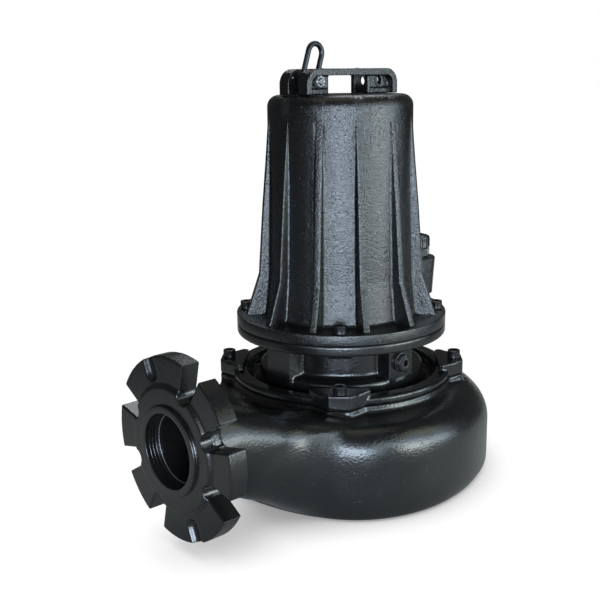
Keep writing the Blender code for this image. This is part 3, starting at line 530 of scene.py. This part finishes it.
# Oil chamber
chamber = dict(
    plateTop=0.1877, plateBottom=0.1754, plateRadius=0.134, body=0.0885, ledge=0.106, ledgeTop=0.1339, trough=0.1094,
    rimInner=0.123, rimTop=0.1264, seamRadius=0.141, seam=0.1174, earReach=0.157, earHalf=0.0135, earTop=0.1350,
    bossHalf=0.021, screwAzimuths=(45, 135, 225, 315), earRoot=0.010, earFlare=0.9, earNeck=0.92,
    plateEdge=0.001, plateRound=0.006, footRound=0.005, ledgeRound=0.006, troughRound=0.008,
    spigot=0.1187, bottom=0.0925,
    sideBoss=(0.105, 0.1220, 0.004), endBoss=(0.108, 0.1140, 0.012),  # reach, bottom and chamfer
    pad=((-0.014, -0.132), (0.014, -0.132), (0.019, -0.100), (-0.019, -0.100)), padHeight=0.006, joint=0.003,
)


def earOutline(z):
    c = chamber
    root = c["seamRadius"] - c["earRoot"]
    flare = c["earHalf"] + (c["earReach"] - root) * c["earFlare"]
    inner = c["rimInner"] + 0.0015
    half, reach, neck = c["earHalf"], c["earReach"], flare * c["earNeck"]
    corners = ((-half, reach), (half, reach), (flare, root), (neck, inner), (-neck, inner), (-flare, root))
    return [Vector((x, -y, z)) for x, y in corners]


def bossShape(reach, bottom, chamfer):
    c = chamber
    half, top, back = c["bossHalf"], c["plateBottom"] + c["joint"], 0.025 - c["body"]
    corners = [(-half, top), (half, top), (half, bottom + chamfer), (half - chamfer, bottom)]
    corners += [(chamfer - half, bottom), (-half, bottom + chamfer)]
    return slab([Vector((x, back, z)) for x, z in corners], (0, -reach - back, 0))


def makeChamber():
    c = chamber
    plate, edge, seam = c["plateRadius"], c["plateEdge"], c["seamRadius"]
    points = [(0, c["plateTop"]), (plate - edge, c["plateTop"]), (plate, c["plateTop"] - edge)]
    points += [(plate, c["plateBottom"] + edge), (plate - edge, c["plateBottom"])]
    for middle, height, r, start, end, steps in (
        (c["body"] + c["plateRound"], c["plateBottom"] - c["plateRound"], c["plateRound"], 90, 180, 5),
        (c["body"] + c["footRound"], c["ledgeTop"] + c["footRound"], c["footRound"], 180, 270, 5),
        (c["ledge"] - c["ledgeRound"], c["ledgeTop"] - c["ledgeRound"], c["ledgeRound"], 90, 0, 6),
        (c["ledge"] + c["troughRound"], c["trough"] + c["troughRound"], c["troughRound"], 180, 270, 5),
    ):
        points += arc((middle, height), (r, r), start, end, steps)
    points += [(c["rimInner"] - 0.002, c["trough"] + 0.009), (c["rimInner"], c["rimTop"] - 0.001)]
    points += [(c["rimInner"] + 0.001, c["rimTop"]), (seam - 0.002, c["rimTop"]), (seam, c["rimTop"] - 0.002)]
    points += [(seam, c["seam"]), (c["spigot"], c["seam"]), (c["spigot"], c["bottom"]), (0, c["bottom"])]
    solids = [spun(points, 192)]
    rise = (0, 0, c["earTop"] - c["seam"])
    solids += [moved(slab(earOutline(c["seam"]), rise), turned(a)) for a in c["screwAzimuths"]]
    solids += [moved(bossShape(*c["sideBoss"]), turned(a)) for a in (90, 270)]
    solids += [moved(bossShape(*c["endBoss"]), turned(a)) for a in (0, 180)]
    pad = [Vector((x, y, c["plateBottom"] - c["joint"])) for x, y in c["pad"]]
    solids += [moved(slab(pad, (0, 0, c["padHeight"])), turned(a)) for a in c["screwAzimuths"]]
    thing = meshObject("chamber_body", together(solids))
    castSkin(thing, 0.0015, 3, 0.6)
    return finished(thing, chamberPaint, "pump", ["oil_chamber"])


makeChamber()
print("oil chamber made")


# Spiral casing
casing = dict(
    spiral=(
        (0, 0.186), (20, 0.1925), (38, 0.2005), (50, 0.206), (62, 0.2066), (76, 0.203), (90, 0.1972), (110, 0.1915),
        (135, 0.190), (180, 0.183), (225, 0.175), (270, 0.169), (310, 0.167), (340, 0.174),
    ),
    sideTop=(
        (0, 0.074), (30, 0.081), (45, 0.080), (62, 0.079), (76, 0.0755), (90, 0.0745), (120, 0.064), (200, 0.062),
        (300, 0.062), (335, 0.067),
    ),
    shoulder=(
        (0, 0.030), (25, 0.026), (65, 0.026), (90, 0.036), (120, 0.046), (200, 0.046), (300, 0.040), (335, 0.034),
    ),
    wall=0.010, floor=0.012, foot=0.014, hollowFoot=0.010, hollowSide=0.0620, top=0.1084,
    seam=0.1174, seamRadius=0.141, ledge=0.006, ledgeRound=0.004, past=0.005, mouth=0.119, inlet=0.046,
    neck=(  # y, x and z of the middle, half width and height, squareness
        (-0.2450, 0.0720, 0.0970, 0.0505, 0.0520, 3.0), (-0.2120, 0.0735, 0.0835, 0.0500, 0.0535, 3.2),
        (-0.1790, 0.0770, 0.0675, 0.0480, 0.0565, 3.4), (-0.1410, 0.0835, 0.0603, 0.0435, 0.0573, 3.6),
        (-0.0930, 0.0948, 0.0565, 0.0352, 0.0510, 3.9),
    ),
    flare=(0.0, 0.0, 0.0005, 0.0090, 0.0150),  # how far each neck section spreads into the wall
    neckEnd=0.051, neckCollar=0.064, collarLength=0.012, earRoot=0.0964, padTop=0.1056, padBottom=0.070,
    pad=((-0.101, -0.121), (-0.090, -0.095), (-0.048, -0.115), (-0.048, -0.154), (-0.076, -0.154)),
)
flange = dict(
    middle=(0.0705, -0.3149, 0.1173), radius=0.100, thick=0.022, edge=0.001,
    raised=0.067, raisedHeight=0.0035, raisedSlope=0.0035, lip=0.049, lipHeight=0.0070, lipRound=0.0015,
    bore=0.0405, boreRound=0.0010, step=0.038, stepDepth=0.009,
    slots=8, firstSlot=-22.5, slotEnd=0.010, slotAt=0.072, slotTaper=9, slotPast=0.006, grooves=(3, 7),
    grooveStart=0.0725,  # the lines below give height over the face and half width
    groove=((-0.0060, 0.0052), (-0.0045, 0.0078), (0.0, 0.0100), (0.006, 0.0112)),
    toolMarks=(0.006, 0.002, -0.002), markDepth=0.0002, markHalf=0.0006,
)


def around(knots, azimuth):  # a smooth closed curve through (azimuth, value) knots
    count = len(knots)
    k = max(i for i in range(count) if knots[i][0] <= azimuth % 360)
    start = knots[k][0]
    end = knots[(k + 1) % count][0] + (360 if k + 1 == count else 0)
    t = (azimuth % 360 - start) / (end - start)
    before, first, second, after = (knots[(k + i) % count][1] for i in (-1, 0, 1, 2))
    slopeIn, slopeOut = (second - before) / 2, (after - first) / 2
    return (
        (2 * t**3 - 3 * t**2 + 1) * first + (t**3 - 2 * t**2 + t) * slopeIn
        + (3 * t**2 - 2 * t**3) * second + (t**3 - t**2) * slopeOut
    )


def casingSection(azimuth):  # outside of the casing at one azimuth, from its foot to its top
    c = casing
    radius, sideTop = around(c["spiral"], azimuth), around(c["sideTop"], azimuth)
    shoulder = max(radius - around(c["shoulder"], azimuth), c["seamRadius"] + c["ledge"])
    section = [(c["inlet"] / 2, 0.0)]
    section += arc((radius - c["foot"], c["foot"]), (c["foot"], c["foot"]), -90, 0, 6)
    section += arc((shoulder, sideTop), (radius - shoulder, c["top"] - sideTop), 0, 90, 16)
    soft = c["ledgeRound"]
    section += arc((c["seamRadius"] + soft, c["top"] + soft), (soft, soft), -90, -180, 4)
    section += [(c["seamRadius"], c["seam"] - gap), (c["inlet"] / 2, c["seam"] - gap)]
    return section


def hollowSection(azimuth):
    c = casing
    radius, top, foot = around(c["spiral"], azimuth) - c["wall"], c["top"] - c["wall"], c["hollowFoot"]
    section = [(c["inlet"] / 2, -c["past"]), (c["inlet"], -c["past"]), (c["inlet"], c["floor"])]
    section += arc((radius - foot, c["floor"] + foot), (foot, foot), -90, 0, 4)
    section += arc((c["mouth"], c["hollowSide"]), (radius - c["mouth"], top - c["hollowSide"]), 0, 90, 10)
    section += [(c["mouth"], c["seam"] + c["past"]), (c["inlet"] / 2, c["seam"] + c["past"])]
    return section


def sweptRound(section, columns=180):  # skins the sections round the shaft
    azimuths = [360 * i / columns for i in range(columns)]
    outlines = [[polar(r, azimuth, z) for r, z in section(azimuth)] for azimuth in azimuths]
    return stacked([list(ring) for ring in zip(*outlines)])


def neckRing(y, x, z, halfWidth, halfHeight, squareness, wall):  # a rounded box round the neck's middle line
    ring = []
    for i in range(64):
        angle = 2 * math.pi * i / 64
        across = math.copysign(abs(math.cos(angle)) ** (2 / squareness), math.cos(angle))
        up = math.copysign(abs(math.sin(angle)) ** (2 / squareness), math.sin(angle))
        ring.append(Vector((x + (halfWidth - wall) * across, y, z + (halfHeight - wall) * up)))
    return ring


def neckShape(wall, front, endRadius):
    x, y, z = flange["middle"]
    end = (endRadius + wall, endRadius + wall, 2.0)
    stations = [(front, x, z, *end), (y + 0.040, x, z - 0.003, *end)]
    for (sectionY, sectionX, sectionZ, halfWidth, *others), flare in zip(casing["neck"], casing["flare"]):
        spread = 0.0 if wall else flare
        stations.append((sectionY, sectionX + spread, sectionZ, halfWidth + spread, *others))
    rings = []
    for k in range(len(stations) - 1):
        before, first = stations[max(k - 1, 0)], stations[k]
        second, after = stations[k + 1], stations[min(k + 2, len(stations) - 1)]
        for step in range(5):
            t = step / 5
            values = []
            for a, b, c, d in zip(before, first, second, after):
                bend = (2 * a - 5 * b + 4 * c - d) * t**2 + (3 * b - a - 3 * c + d) * t**3
                values.append(0.5 * (2 * b + (c - a) * t + bend))
            rings.append(neckRing(*values, wall))
    rings.append(neckRing(*stations[-1], wall))
    return stacked(rings)


def faded(value, low, high):
    return min(max((value - low) / (high - low), 0.0), 1.0)


def neckBlend(point):  # strongest where the neck runs into the wall, nothing at the foot, the rim or the flange
    azimuth = math.degrees(math.atan2(point.x, -point.y))
    side = faded(azimuth, -35, -15) * (1 - faded(azimuth, 95, 115))
    side *= faded(math.hypot(point.x, point.y), 0.160, 0.175)
    return side * faded(point.z, 0.003, 0.012) * (1 - faded(point.z, 0.099, 0.108)) * faded(point.y, -0.262, -0.235)


def makeCasing():
    c, f = casing, flange
    x, y, z = f["middle"]
    thing = meshObject("casing_body", sweptRound(casingSection))
    joins = [neckShape(0.0, y + f["thick"] / 2 - 0.0005, c["neckEnd"])]
    joins.append(moved(rod(c["neckCollar"], 0, c["collarLength"], 96), laid("y", (x, y + f["thick"] - 0.001, z))))
    rise = (0, 0, c["seam"] - gap - c["earRoot"])
    joins += [moved(slab(earOutline(c["earRoot"]), rise), turned(a)) for a in chamber["screwAzimuths"]]
    pad = [Vector((padX, padY, c["padBottom"])) for padX, padY in c["pad"]]
    joins.append(slab(pad, (0, 0, c["padTop"] - c["padBottom"])))
    for shape in joins:
        cutOrJoined(thing, shape, "UNION")
    cutOrJoined(thing, sweptRound(hollowSection), "DIFFERENCE")
    cutOrJoined(thing, neckShape(c["wall"], y - 0.020, f["step"]), "DIFFERENCE")
    castSkin(thing, 0.0020, 3, 0.5, neckBlend)
    return finished(thing, casingPaint, "pump", ["volute_casing"])


def slotShape(k):  # what cuts the flange's bolt place with this number, with the face at height 0
    f = flange
    far = f["radius"] + f["slotPast"]
    if k in f["grooves"]:
        rings = []
        for height, r in f["groove"]:
            outline = [(r, far), (-r, far)]
            outline += arc((0, f["grooveStart"] + f["groove"][-1][1]), (r, r), 180, 360, 12)
            rings.append([Vector((x, y, height)) for x, y in outline])
        return stacked(rings)
    half = f["slotEnd"] + (far - f["slotAt"]) * math.tan(math.radians(f["slotTaper"]))
    outline = [(half, far), (-half, far)] + arc((0, f["slotAt"]), (f["slotEnd"], f["slotEnd"]), 180, 360, 16)
    shape = slab([Vector((x, y, 0)) for x, y in outline], (0, 0, f["thick"] + 0.020))
    return moved(shape, Matrix.Translation((0, 0, -f["thick"] - 0.010)))


def makeFlange():
    f = flange
    back, edge, rim, raisedTop = -f["thick"], f["edge"], f["radius"], f["raisedHeight"]
    points = [(f["lip"] - 0.003, raisedTop), (f["raised"], raisedTop), (f["raised"] + f["raisedSlope"], 0.0)]
    points += [(rim - edge, 0.0), (rim, -edge), (rim, back + edge), (rim - edge, back)]
    points += [(0.056, back), (0.052, back - 0.004), (0.045, back - 0.004)]
    thing = meshObject("casing_flange", spun(points, 256))
    for k in range(f["slots"]):
        cutOrJoined(thing, moved(slotShape(k), turned(f["firstSlot"] - 360 / f["slots"] * k)), "DIFFERENCE")
    thing.data.transform(laid("y", f["middle"]))
    castSkin(thing, 0.0010, 3, 0.45)
    finished(thing, flangePaint, "pump", ["volute_casing"])


def makeLip():  # the lip, the bore and the step in it
    f = flange
    lip, bore, step = f["lip"], f["bore"], f["step"]
    top, face, low, mark = f["lipHeight"], f["raisedHeight"], -f["stepDepth"], f["markHalf"]
    points = arc((lip - f["lipRound"], top - f["lipRound"]), (f["lipRound"], f["lipRound"]), 90, 0, 6)
    points += [(lip, face + 0.0006), (lip + 0.0006, face - 0.0002), (lip + 0.0006, low - 0.002)]
    points += [(step - 0.0004, low - 0.002), (step - 0.0004, low - 0.0006), (step, low), (bore, low)]
    for depth in f["toolMarks"]:
        points += [(bore, -depth - mark), (bore + f["markDepth"], -depth - mark / 2)]
        points += [(bore + f["markDepth"], -depth + mark / 2), (bore, -depth + mark)]
    points += arc((bore + f["boreRound"], top - f["boreRound"]), (f["boreRound"], f["boreRound"]), 180, 90, 6)
    thing = meshObject("casing_lip", moved(spun(points, 192), laid("y", f["middle"])))
    finished(thing, smoothPaint, "pump", ["volute_casing"], 25)
    # A thin ring of lighter bare iron at the step's edge: partly a machined edge, partly a painted highlight line
    # along it
    stepGlintRing = arc((step, low - 0.0001), (0.0007, 0.0005), 0, 360, 8)[:-1]
    thing = meshObject("casing_step_edge", moved(spun(stepGlintRing, 128), laid("y", f["middle"])))
    finished(thing, stepGlintIron, "pump", ["volute_casing"])


makeCasing()
makeFlange()
makeLip()
print("casing made")


# Handle: two arches with webs in their corners
handle = dict(
    base=0.4713, top=0.5013, half=0.0765, corner=0.018, band=0.008, near=0.0085, depth=0.0165,
    web=0.035, webDepth=0.0065, sill=0.0067, sillDepth=0.0090, sillShort=0.0030,
    boltY=0.0520, boltZ=0.4866, hole=0.0057,
    nubs=(-0.046, 0.013), nubRadius=0.0016, nubAcross=0.0080, nubHeight=0.0008,
)


def makeArch(name, side):
    h = handle
    near, half, band = side * h["near"], h["half"], h["band"]
    bendY, bendZ = half - h["corner"], h["top"] - h["corner"]
    outer, inner = (h["corner"],) * 2, (h["corner"] - band,) * 2
    outline = [(half, h["base"])] + arc((bendY, bendZ), outer, 0, 90, 14) + arc((-bendY, bendZ), outer, 90, 180, 14)
    outline += [(-half, h["base"]), (band - half, h["base"])]
    outline += arc((-bendY, bendZ), inner, 180, 90, 10) + arc((bendY, bendZ), inner, 90, 0, 10)
    outline += [(half - band, h["base"])]
    solids = [slab([Vector((near, y, z)) for y, z in outline], (side * h["depth"], 0, 0))]
    webs = (
        (h["top"] - band / 2, h["webDepth"], 0.0),
        (h["base"] + h["sill"], h["sillDepth"], h["sillShort"]),
    )
    for end in (-1, 1):
        for top, depth, short in webs:
            far, close = end * (half - band / 2), end * (half - band - h["web"] + short)
            corners = ((far, h["base"]), (far, top), (close, top), (close, h["base"]))
            solids.append(slab([Vector((near, y, z)) for y, z in corners], (side * depth, 0, 0)))
    if side > 0:  # two small nubs the mould left on top
        for y in h["nubs"]:
            place = Matrix.Translation((near + h["nubAcross"], y, h["top"]))
            solids.append(moved(rod(h["nubRadius"], -0.002, h["nubHeight"], 12), place))
    thing = meshObject(name, solids[0])
    for shape in solids[1:]:
        cutOrJoined(thing, shape, "UNION")
    hole = moved(rod(h["hole"], -0.030, 0.030), laid("x", (0, h["boltY"], h["boltZ"])))
    cutOrJoined(thing, hole, "DIFFERENCE")
    castSkin(thing, 0.0008, 3, 0.5)
    return finished(thing, paint, "pump", ["handle_arch_" + name[5:]])


makeArch("arch_left", -1)
makeArch("arch_right", 1)
print("handle made")


# Screws, plugs, cable gland, cross bolt and lifting link
screw = dict(
    radius=0.008, height=0.010, edge=0.0008, shank=0.005, socket=0.008, socketDepth=0.005, ribs=36, ribDepth=0.00022,
    rows=(("motor", 0.122, housing["flangeTop"], 0.026), ("volute", 0.1466, chamber["earTop"], 0.030)),
)


def capScrew(name, place, length):  # a socket cap screw with a ribbed head
    sc = screw
    columns, rim, top, edge = 2 * sc["ribs"], sc["radius"], sc["height"], sc["edge"]
    levels = [(-length, sc["shank"], 0), (gap, sc["shank"], 0), (gap, rim - 0.0003, 0), (0.0007, rim, 0)]
    levels += [(0.0014, rim, 0), (0.0020, rim, 1), (top - 0.0022, rim, 1), (top - 0.0016, rim, 0)]
    levels += [(top - edge, rim, 0), (top - 0.0002, rim - edge * 0.7, 0), (top, rim - edge - 0.0004, 0)]
    rings = []
    for z, r, ribbed in levels:
        rings.append([polar(r - ribbed * sc["ribDepth"] * (i % 2), 360 * i / columns, z) for i in range(columns)])
    thing = meshObject(name + "_head", stacked(rings))
    cutOrJoined(thing, hexRod(sc["socket"], top - sc["socketDepth"], top + 0.002), "DIFFERENCE")
    thing.data.transform(Matrix.Translation(place))
    return finished(thing, oxide, "pump", [name], 35)


for number, azimuth in enumerate(chamber["screwAzimuths"], 1):
    for row, radius, seat, length in screw["rows"]:
        capScrew(f"{row}_screw_{number}", polar(radius, azimuth, seat), length)

plug = dict(
    radius=0.011, height=0.006, edge=0.0012, shank=0.008, length=0.018, socket=0.008, socketFloor=0.002,
    seat=0.1068, face=0.1053, z=0.1512, washer=0.012, washerHeight=0.0012, washerEdge=0.0003,
)


def makePlug(name, turn):
    g = plug
    edge = g["edge"]
    profile = [(0, g["height"]), (g["radius"] - 0.0016, g["height"])]
    profile += arc((g["radius"] - edge, g["height"] - edge), (edge, edge), 75, 0, 4)
    profile += [(g["radius"], 0.0), (g["shank"], 0.0), (g["shank"], -g["length"]), (0, -g["length"])]
    thing = meshObject(name + "_head", spun(profile, 64))
    cutOrJoined(thing, hexRod(g["socket"], g["socketFloor"], 0.012), "DIFFERENCE")
    thing.data.transform(turned(turn) @ laid("x", (g["seat"], 0, g["z"])))
    finished(thing, oxide, "pump", [name], 35)
    top, hole, rim, edge = g["washerHeight"], g["shank"] + gap, g["washer"], g["washerEdge"]
    ring = [(rim, 0.0002), (rim, top - 0.0002), (rim - edge, top), (hole, top), (hole, 0), (rim - edge, 0)]
    thing = meshObject(name + "_seal", moved(spun(ring, 64), turned(turn) @ laid("x", (g["face"], 0, g["z"]))))
    finished(thing, sealMetal, "pump", [name + "_washer"], 35)


makePlug("oil_plug", 0)
makePlug("drain_plug", 180)

gland = dict(
    y=0.149, bottom=0.2498, flats=0.030, bodyHeight=0.012, corner=0.0018, cornerCut=0.0030, cornerOver=0.0004,
    nutHeight=0.0165, nutRadius=0.0165, ribs=24, ribDepth=0.0005, bush=0.0092, cableHole=0.0070,
)


def makeGland():
    g = gland
    bottom, middle = g["bottom"], g["bottom"] + g["bodyHeight"]
    top = middle + g["nutHeight"]
    there = Matrix.Translation((0, g["y"], 0))
    corner = g["flats"] / math.sqrt(3)
    inner, outer = corner - g["cornerCut"], corner + g["cornerOver"]
    body = meshObject("gland_hexagon", hexRod(g["flats"], bottom, middle))
    ends = [(0, middle), (inner, middle), (outer, middle - g["corner"]), (outer, bottom + g["corner"])]
    cutOrJoined(body, spun(ends + [(inner, bottom), (0, bottom)], 96), "INTERSECT")
    body.data.transform(there)
    finished(body, oxide, "pump", ["gland_body"], 30)
    columns, rim = 4 * g["ribs"], g["nutRadius"]
    levels = [(middle + gap, rim - 0.0008, 0), (middle + 0.0011, rim, 0), (middle + 0.0020, rim, 1)]
    levels += [(top - 0.0040, rim, 1), (top - 0.0030, rim - 0.0002, 0), (top - 0.0012, rim - 0.0010, 0)]
    levels.append((top, rim - 0.0030, 0))
    rings = []
    for z, r, ribbed in levels:
        rings.append([polar(r - ribbed * g["ribDepth"] * (i % 4 < 2), 360 * i / columns, z) for i in range(columns)])
    nut = meshObject("gland_cap", stacked(rings))
    cutOrJoined(nut, rod(g["bush"] + gap, middle + 0.003, top + 0.010, 64), "DIFFERENCE")
    nut.data.transform(there)
    finished(nut, oxide, "pump", ["gland_nut"], 35)
    low, high = middle + 0.0033, top + 0.0015
    outer, inner = g["bush"], g["cableHole"]
    profile = [(outer, low), (outer, high - 0.0006), (outer - 0.0006, high), (inner + 0.0005, high)]
    profile += [(inner, high - 0.0005), (inner, low)]
    bush = meshObject("gland_rubber", moved(spun(profile, 64), there))
    finished(bush, rubber, "pump", ["gland_bush"], 40)


makeGland()

bolt = dict(
    y=-0.0520, z=0.4866, radius=0.004, flats=0.013, head=0.0053, nut=0.0065, face=0.0153, tip=0.0015, edge=0.0007,
    threads=9, pitch=0.00125, threadDepth=0.00035, threadHalf=0.00045, threadStart=0.0012,
    chamferAcross=0.0010, chamferDown=0.0007,
)


def chamferedHex(name, bottom, top, chamferTop, chamferBottom):  # chamfers are 1 or 0 for with or without
    corner, across, down = bolt["flats"] / math.sqrt(3), bolt["chamferAcross"], bolt["chamferDown"]
    thing = meshObject(name, moved(hexRod(bolt["flats"], bottom, top), Matrix.Rotation(math.radians(30), 4, "Z")))
    profile = [(0, top), (corner - across * chamferTop, top), (corner + 0.0002, top - down * chamferTop)]
    profile += [(corner + 0.0002, bottom + down * chamferBottom), (corner - across * chamferBottom, bottom)]
    profile.append((0, bottom))
    cutOrJoined(thing, spun(profile, 64), "INTERSECT")
    return thing


def makeCrossBolt():
    b = bolt
    there = laid("x", (0, b["y"], b["z"]))
    head = chamferedHex("bolt_head", -b["face"] - b["head"], -b["face"], 0, 1)
    end = b["face"] + b["nut"] + b["tip"]
    r, half = b["radius"], b["threadHalf"]
    profile = [(0, end), (r - b["edge"], end), (r, end - b["edge"])]
    for i in range(b["threads"]):  # thread grooves that show past the nut
        z = end - b["threadStart"] - b["pitch"] * i
        profile += [(r, z), (r - b["threadDepth"], z - half), (r, z - 2 * half)]
    profile += [(r, -b["face"] - 0.001), (0, -b["face"] - 0.001)]
    cutOrJoined(head, spun(profile, 40), "UNION")
    head.data.transform(there)
    finished(head, oxide, "pump", ["cross_bolt"], 30)
    nut = chamferedHex("bolt_nut", b["face"], b["face"] + b["nut"], 1, 0)
    cutOrJoined(nut, rod(r + gap, 0, 0.050, 40), "DIFFERENCE")
    nut.data.transform(there)
    finished(nut, nutSteel, "pump", ["cross_bolt_nut"], 30)


link = dict(bar=0.0033, spacing=0.0215, length=0.0425, lean=18.5, play=0.0006, bevel=7)


def makeLink():  # a round bar bent to a closed oblong, hung on the cross bolt
    l = link
    half = l["spacing"] / 2
    path = arc((0, 0), (half, half), 180, 360, 24) + arc((0, l["length"] - half), (half, half), 0, 180, 24)
    lift = half - bolt["radius"] - l["bar"] - l["play"]
    curve = bpy.data.curves.new("link_path", "CURVE")
    curve.dimensions = "3D"
    curve.bevel_depth = l["bar"]
    curve.bevel_resolution = l["bevel"]
    line = curve.splines.new("POLY")
    line.points.add(len(path) - 1)
    line.use_cyclic_u = True
    for point, (y, z) in zip(line.points, path):
        point.co = (0, y, z + lift, 1)
    rail = bpy.data.objects.new("link_path", curve)
    scene.collection.objects.link(rail)
    bpy.context.view_layer.update()
    bm = bmesh.new()
    bm.from_mesh(bpy.data.meshes.new_from_object(rail.evaluated_get(bpy.context.evaluated_depsgraph_get())))
    bpy.data.objects.remove(rail)
    bmesh.ops.remove_doubles(bm, verts=bm.verts, dist=1e-6)
    bmesh.ops.recalc_face_normals(bm, faces=bm.faces)
    place = Matrix.Translation((0, bolt["y"], bolt["z"])) @ Matrix.Rotation(-math.radians(l["lean"]), 4, "X")
    return finished(meshObject("link_bar", moved(bm, place)), steel, "lifting_link", ["lifting_link"])


makeCrossBolt()
makeLink()
# The pieces inside keep the shapes of their solids
inside = dict(wear_ring=bareIron, impeller=bareIron, impeller_washer=steel, impeller_screw=steel, pump_shaft=steel)
for name, material in inside.items():
    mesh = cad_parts[name].data
    mesh.materials.clear()
    mesh.materials.append(material)
print("screws, gland and link made")


# Studio
def stageObject(name, bm, material):
    thing = meshObject(name, bm)
    thing.data.materials.append(material)
    return thing


studio = dict(
    shadows=(  # reach, from, to, darkest and white of what the camera sees
        (0.30, 0.20, 0.85, 0.95, 1.03), (0.09, 0.18, 0.74, 0.34, 1.0),
    ),
    bounce=0.30, rough=0.9, tint=(0.97, 1.0, 0.97, 1), floor=14,  # what the pump reflects of the floor
    pools=(  # middle, inner and outer reach, glow inside and outside
        (0.05, 0.0, 0.55, 0.80, 0.24, 0.0), (-0.95, 1.05, 0.50, 0.95, 1.1, 0.0),
    ),
    darkPool=(0.24, -0.27, 0.20, 0.36, 0.30, 1.0),  # the darker floor in front of the camera's side
    ambient=0.06, boxDistance=1.9,
    boxes=(  # name, azimuth, bottom, top, width, glow
        ("frontEdge", 21, 0.08, 0.60, 0.46, (2.6, 3.0, 3.6)), ("frontLow", 45, 0.08, 0.60, 0.95, (14.0, 16.8, 20.0)),
        ("besideLow", 66, 0.08, 0.60, 0.46, (2.6, 3.6, 4.0)), ("rightLow", 105, 0.08, 0.60, 0.92, (9.4, 10.4, 10.2)),
        ("farLow", 130, 0.08, 0.60, 0.46, (5.4, 6.7, 7.6)), ("frontHigh", 20, 0.60, 1.15, 0.80, (1.3, 1.5, 1.3)),
        ("rightHigh", 80, 0.60, 1.15, 0.80, (3.0, 3.6, 3.8)), ("farHigh", 105, 0.60, 1.15, 0.80, (2.0, 2.8, 4.0)),
        ("lastHigh", 135, 0.60, 1.15, 0.80, (1.1, 1.3, 1.4)), ("rightTop", 120, 1.15, 1.90, 1.40, (1.5, 1.6, 1.1)),
        ("backHigh", 227, 1.75, 2.70, 1.60, (3.6, 3.8, 4.0)),
    ),
    topGlow=(0.45, 0.42, 0.34), topHeight=2.3, topSize=1.6,
)
floorPaint = bpy.data.materials.new("studioFloor")
floorPaint.use_nodes = True
tree = floorPaint.node_tree
shown = addNode(tree, "ShaderNodeLightPath").outputs["Is Camera Ray"]
shades = []  # a wide faint shadow and a close dark one
for reach, *values in studio["shadows"]:
    nearness = addNode(tree, "ShaderNodeAmbientOcclusion", dict(samples=12, only_local=False), Distance=reach)
    shades.append(ranged(tree, nearness.outputs["AO"], *values))
paper = addNode(tree, "ShaderNodeEmission", None, Color=(1, 1, 1, 1))
tree.links.new(math2(tree, "MULTIPLY", *shades), paper.inputs["Strength"])
where = addNode(tree, "ShaderNodeTexCoord").outputs["Object"]


def pool(x, y, *values):  # a round patch of the floor
    return ranged(tree, vectors(tree, "DISTANCE", where, (x, y, 0)), *values)


glows = math2(tree, "ADD", *(pool(*values) for values in studio["pools"]))
glows = math2(tree, "MULTIPLY", glows, pool(*studio["darkPool"]))
bright = tree.nodes["Principled BSDF"]
bright.inputs["Base Color"].default_value = (studio["bounce"],) * 3 + (1,)
bright.inputs["Roughness"].default_value = studio["rough"]
bright.inputs["Emission Color"].default_value = studio["tint"]
tree.links.new(glows, bright.inputs["Emission Strength"])
both = addNode(tree, "ShaderNodeMixShader", None, i0=shown, i1=bright.outputs[0], i2=paper.outputs[0])
tree.links.new(both.outputs[0], tree.nodes["Material Output"].inputs["Surface"])
floorMesh = bmesh.new()
bmesh.ops.create_circle(floorMesh, cap_ends=True, radius=studio["floor"], segments=64)
stageObject("studio_floor", floorMesh, floorPaint)

world = bpy.data.worlds.new("studio")
world.use_nodes = True
scene.world = world
tree = world.node_tree
seen = addNode(tree, "ShaderNodeLightPath").outputs["Is Camera Ray"]
glow = tree.nodes["Background"]
glow.inputs["Color"].default_value = (1, 1, 1, 1)
tree.links.new(ranged(tree, seen, 0.0, 1.0, studio["ambient"], 1.0), glow.inputs["Strength"])


def softbox(name, azimuth, low, high, width, glow):  # an upright panel facing the pump; glow is its radiance
    light = bpy.data.lights.new(name, "AREA")
    light.shape = "RECTANGLE"
    light.size, light.size_y = width, high - low
    light.energy = max(glow) * math.pi * width * (high - low)
    light.color = [value / max(glow) for value in glow]
    thing = bpy.data.objects.new(name, light)
    place = polar(studio["boxDistance"], azimuth, (low + high) / 2) + shaft
    thing.location = place
    thing.rotation_euler = (shaft + Vector((0, 0, place.z)) - place).to_track_quat("-Z", "Y").to_euler()
    thing.visible_camera = False
    scene.collection.objects.link(thing)
    return thing


for box in studio["boxes"]:
    softbox(*box)
high, size = studio["topHeight"], studio["topSize"]
topBox = softbox("topBox", 0, high - size / 2, high + size / 2, size, studio["topGlow"])
topBox.location = shaft + Vector((0, 0, high))
topBox.rotation_euler = (0, 0, 0)
print("studio set")
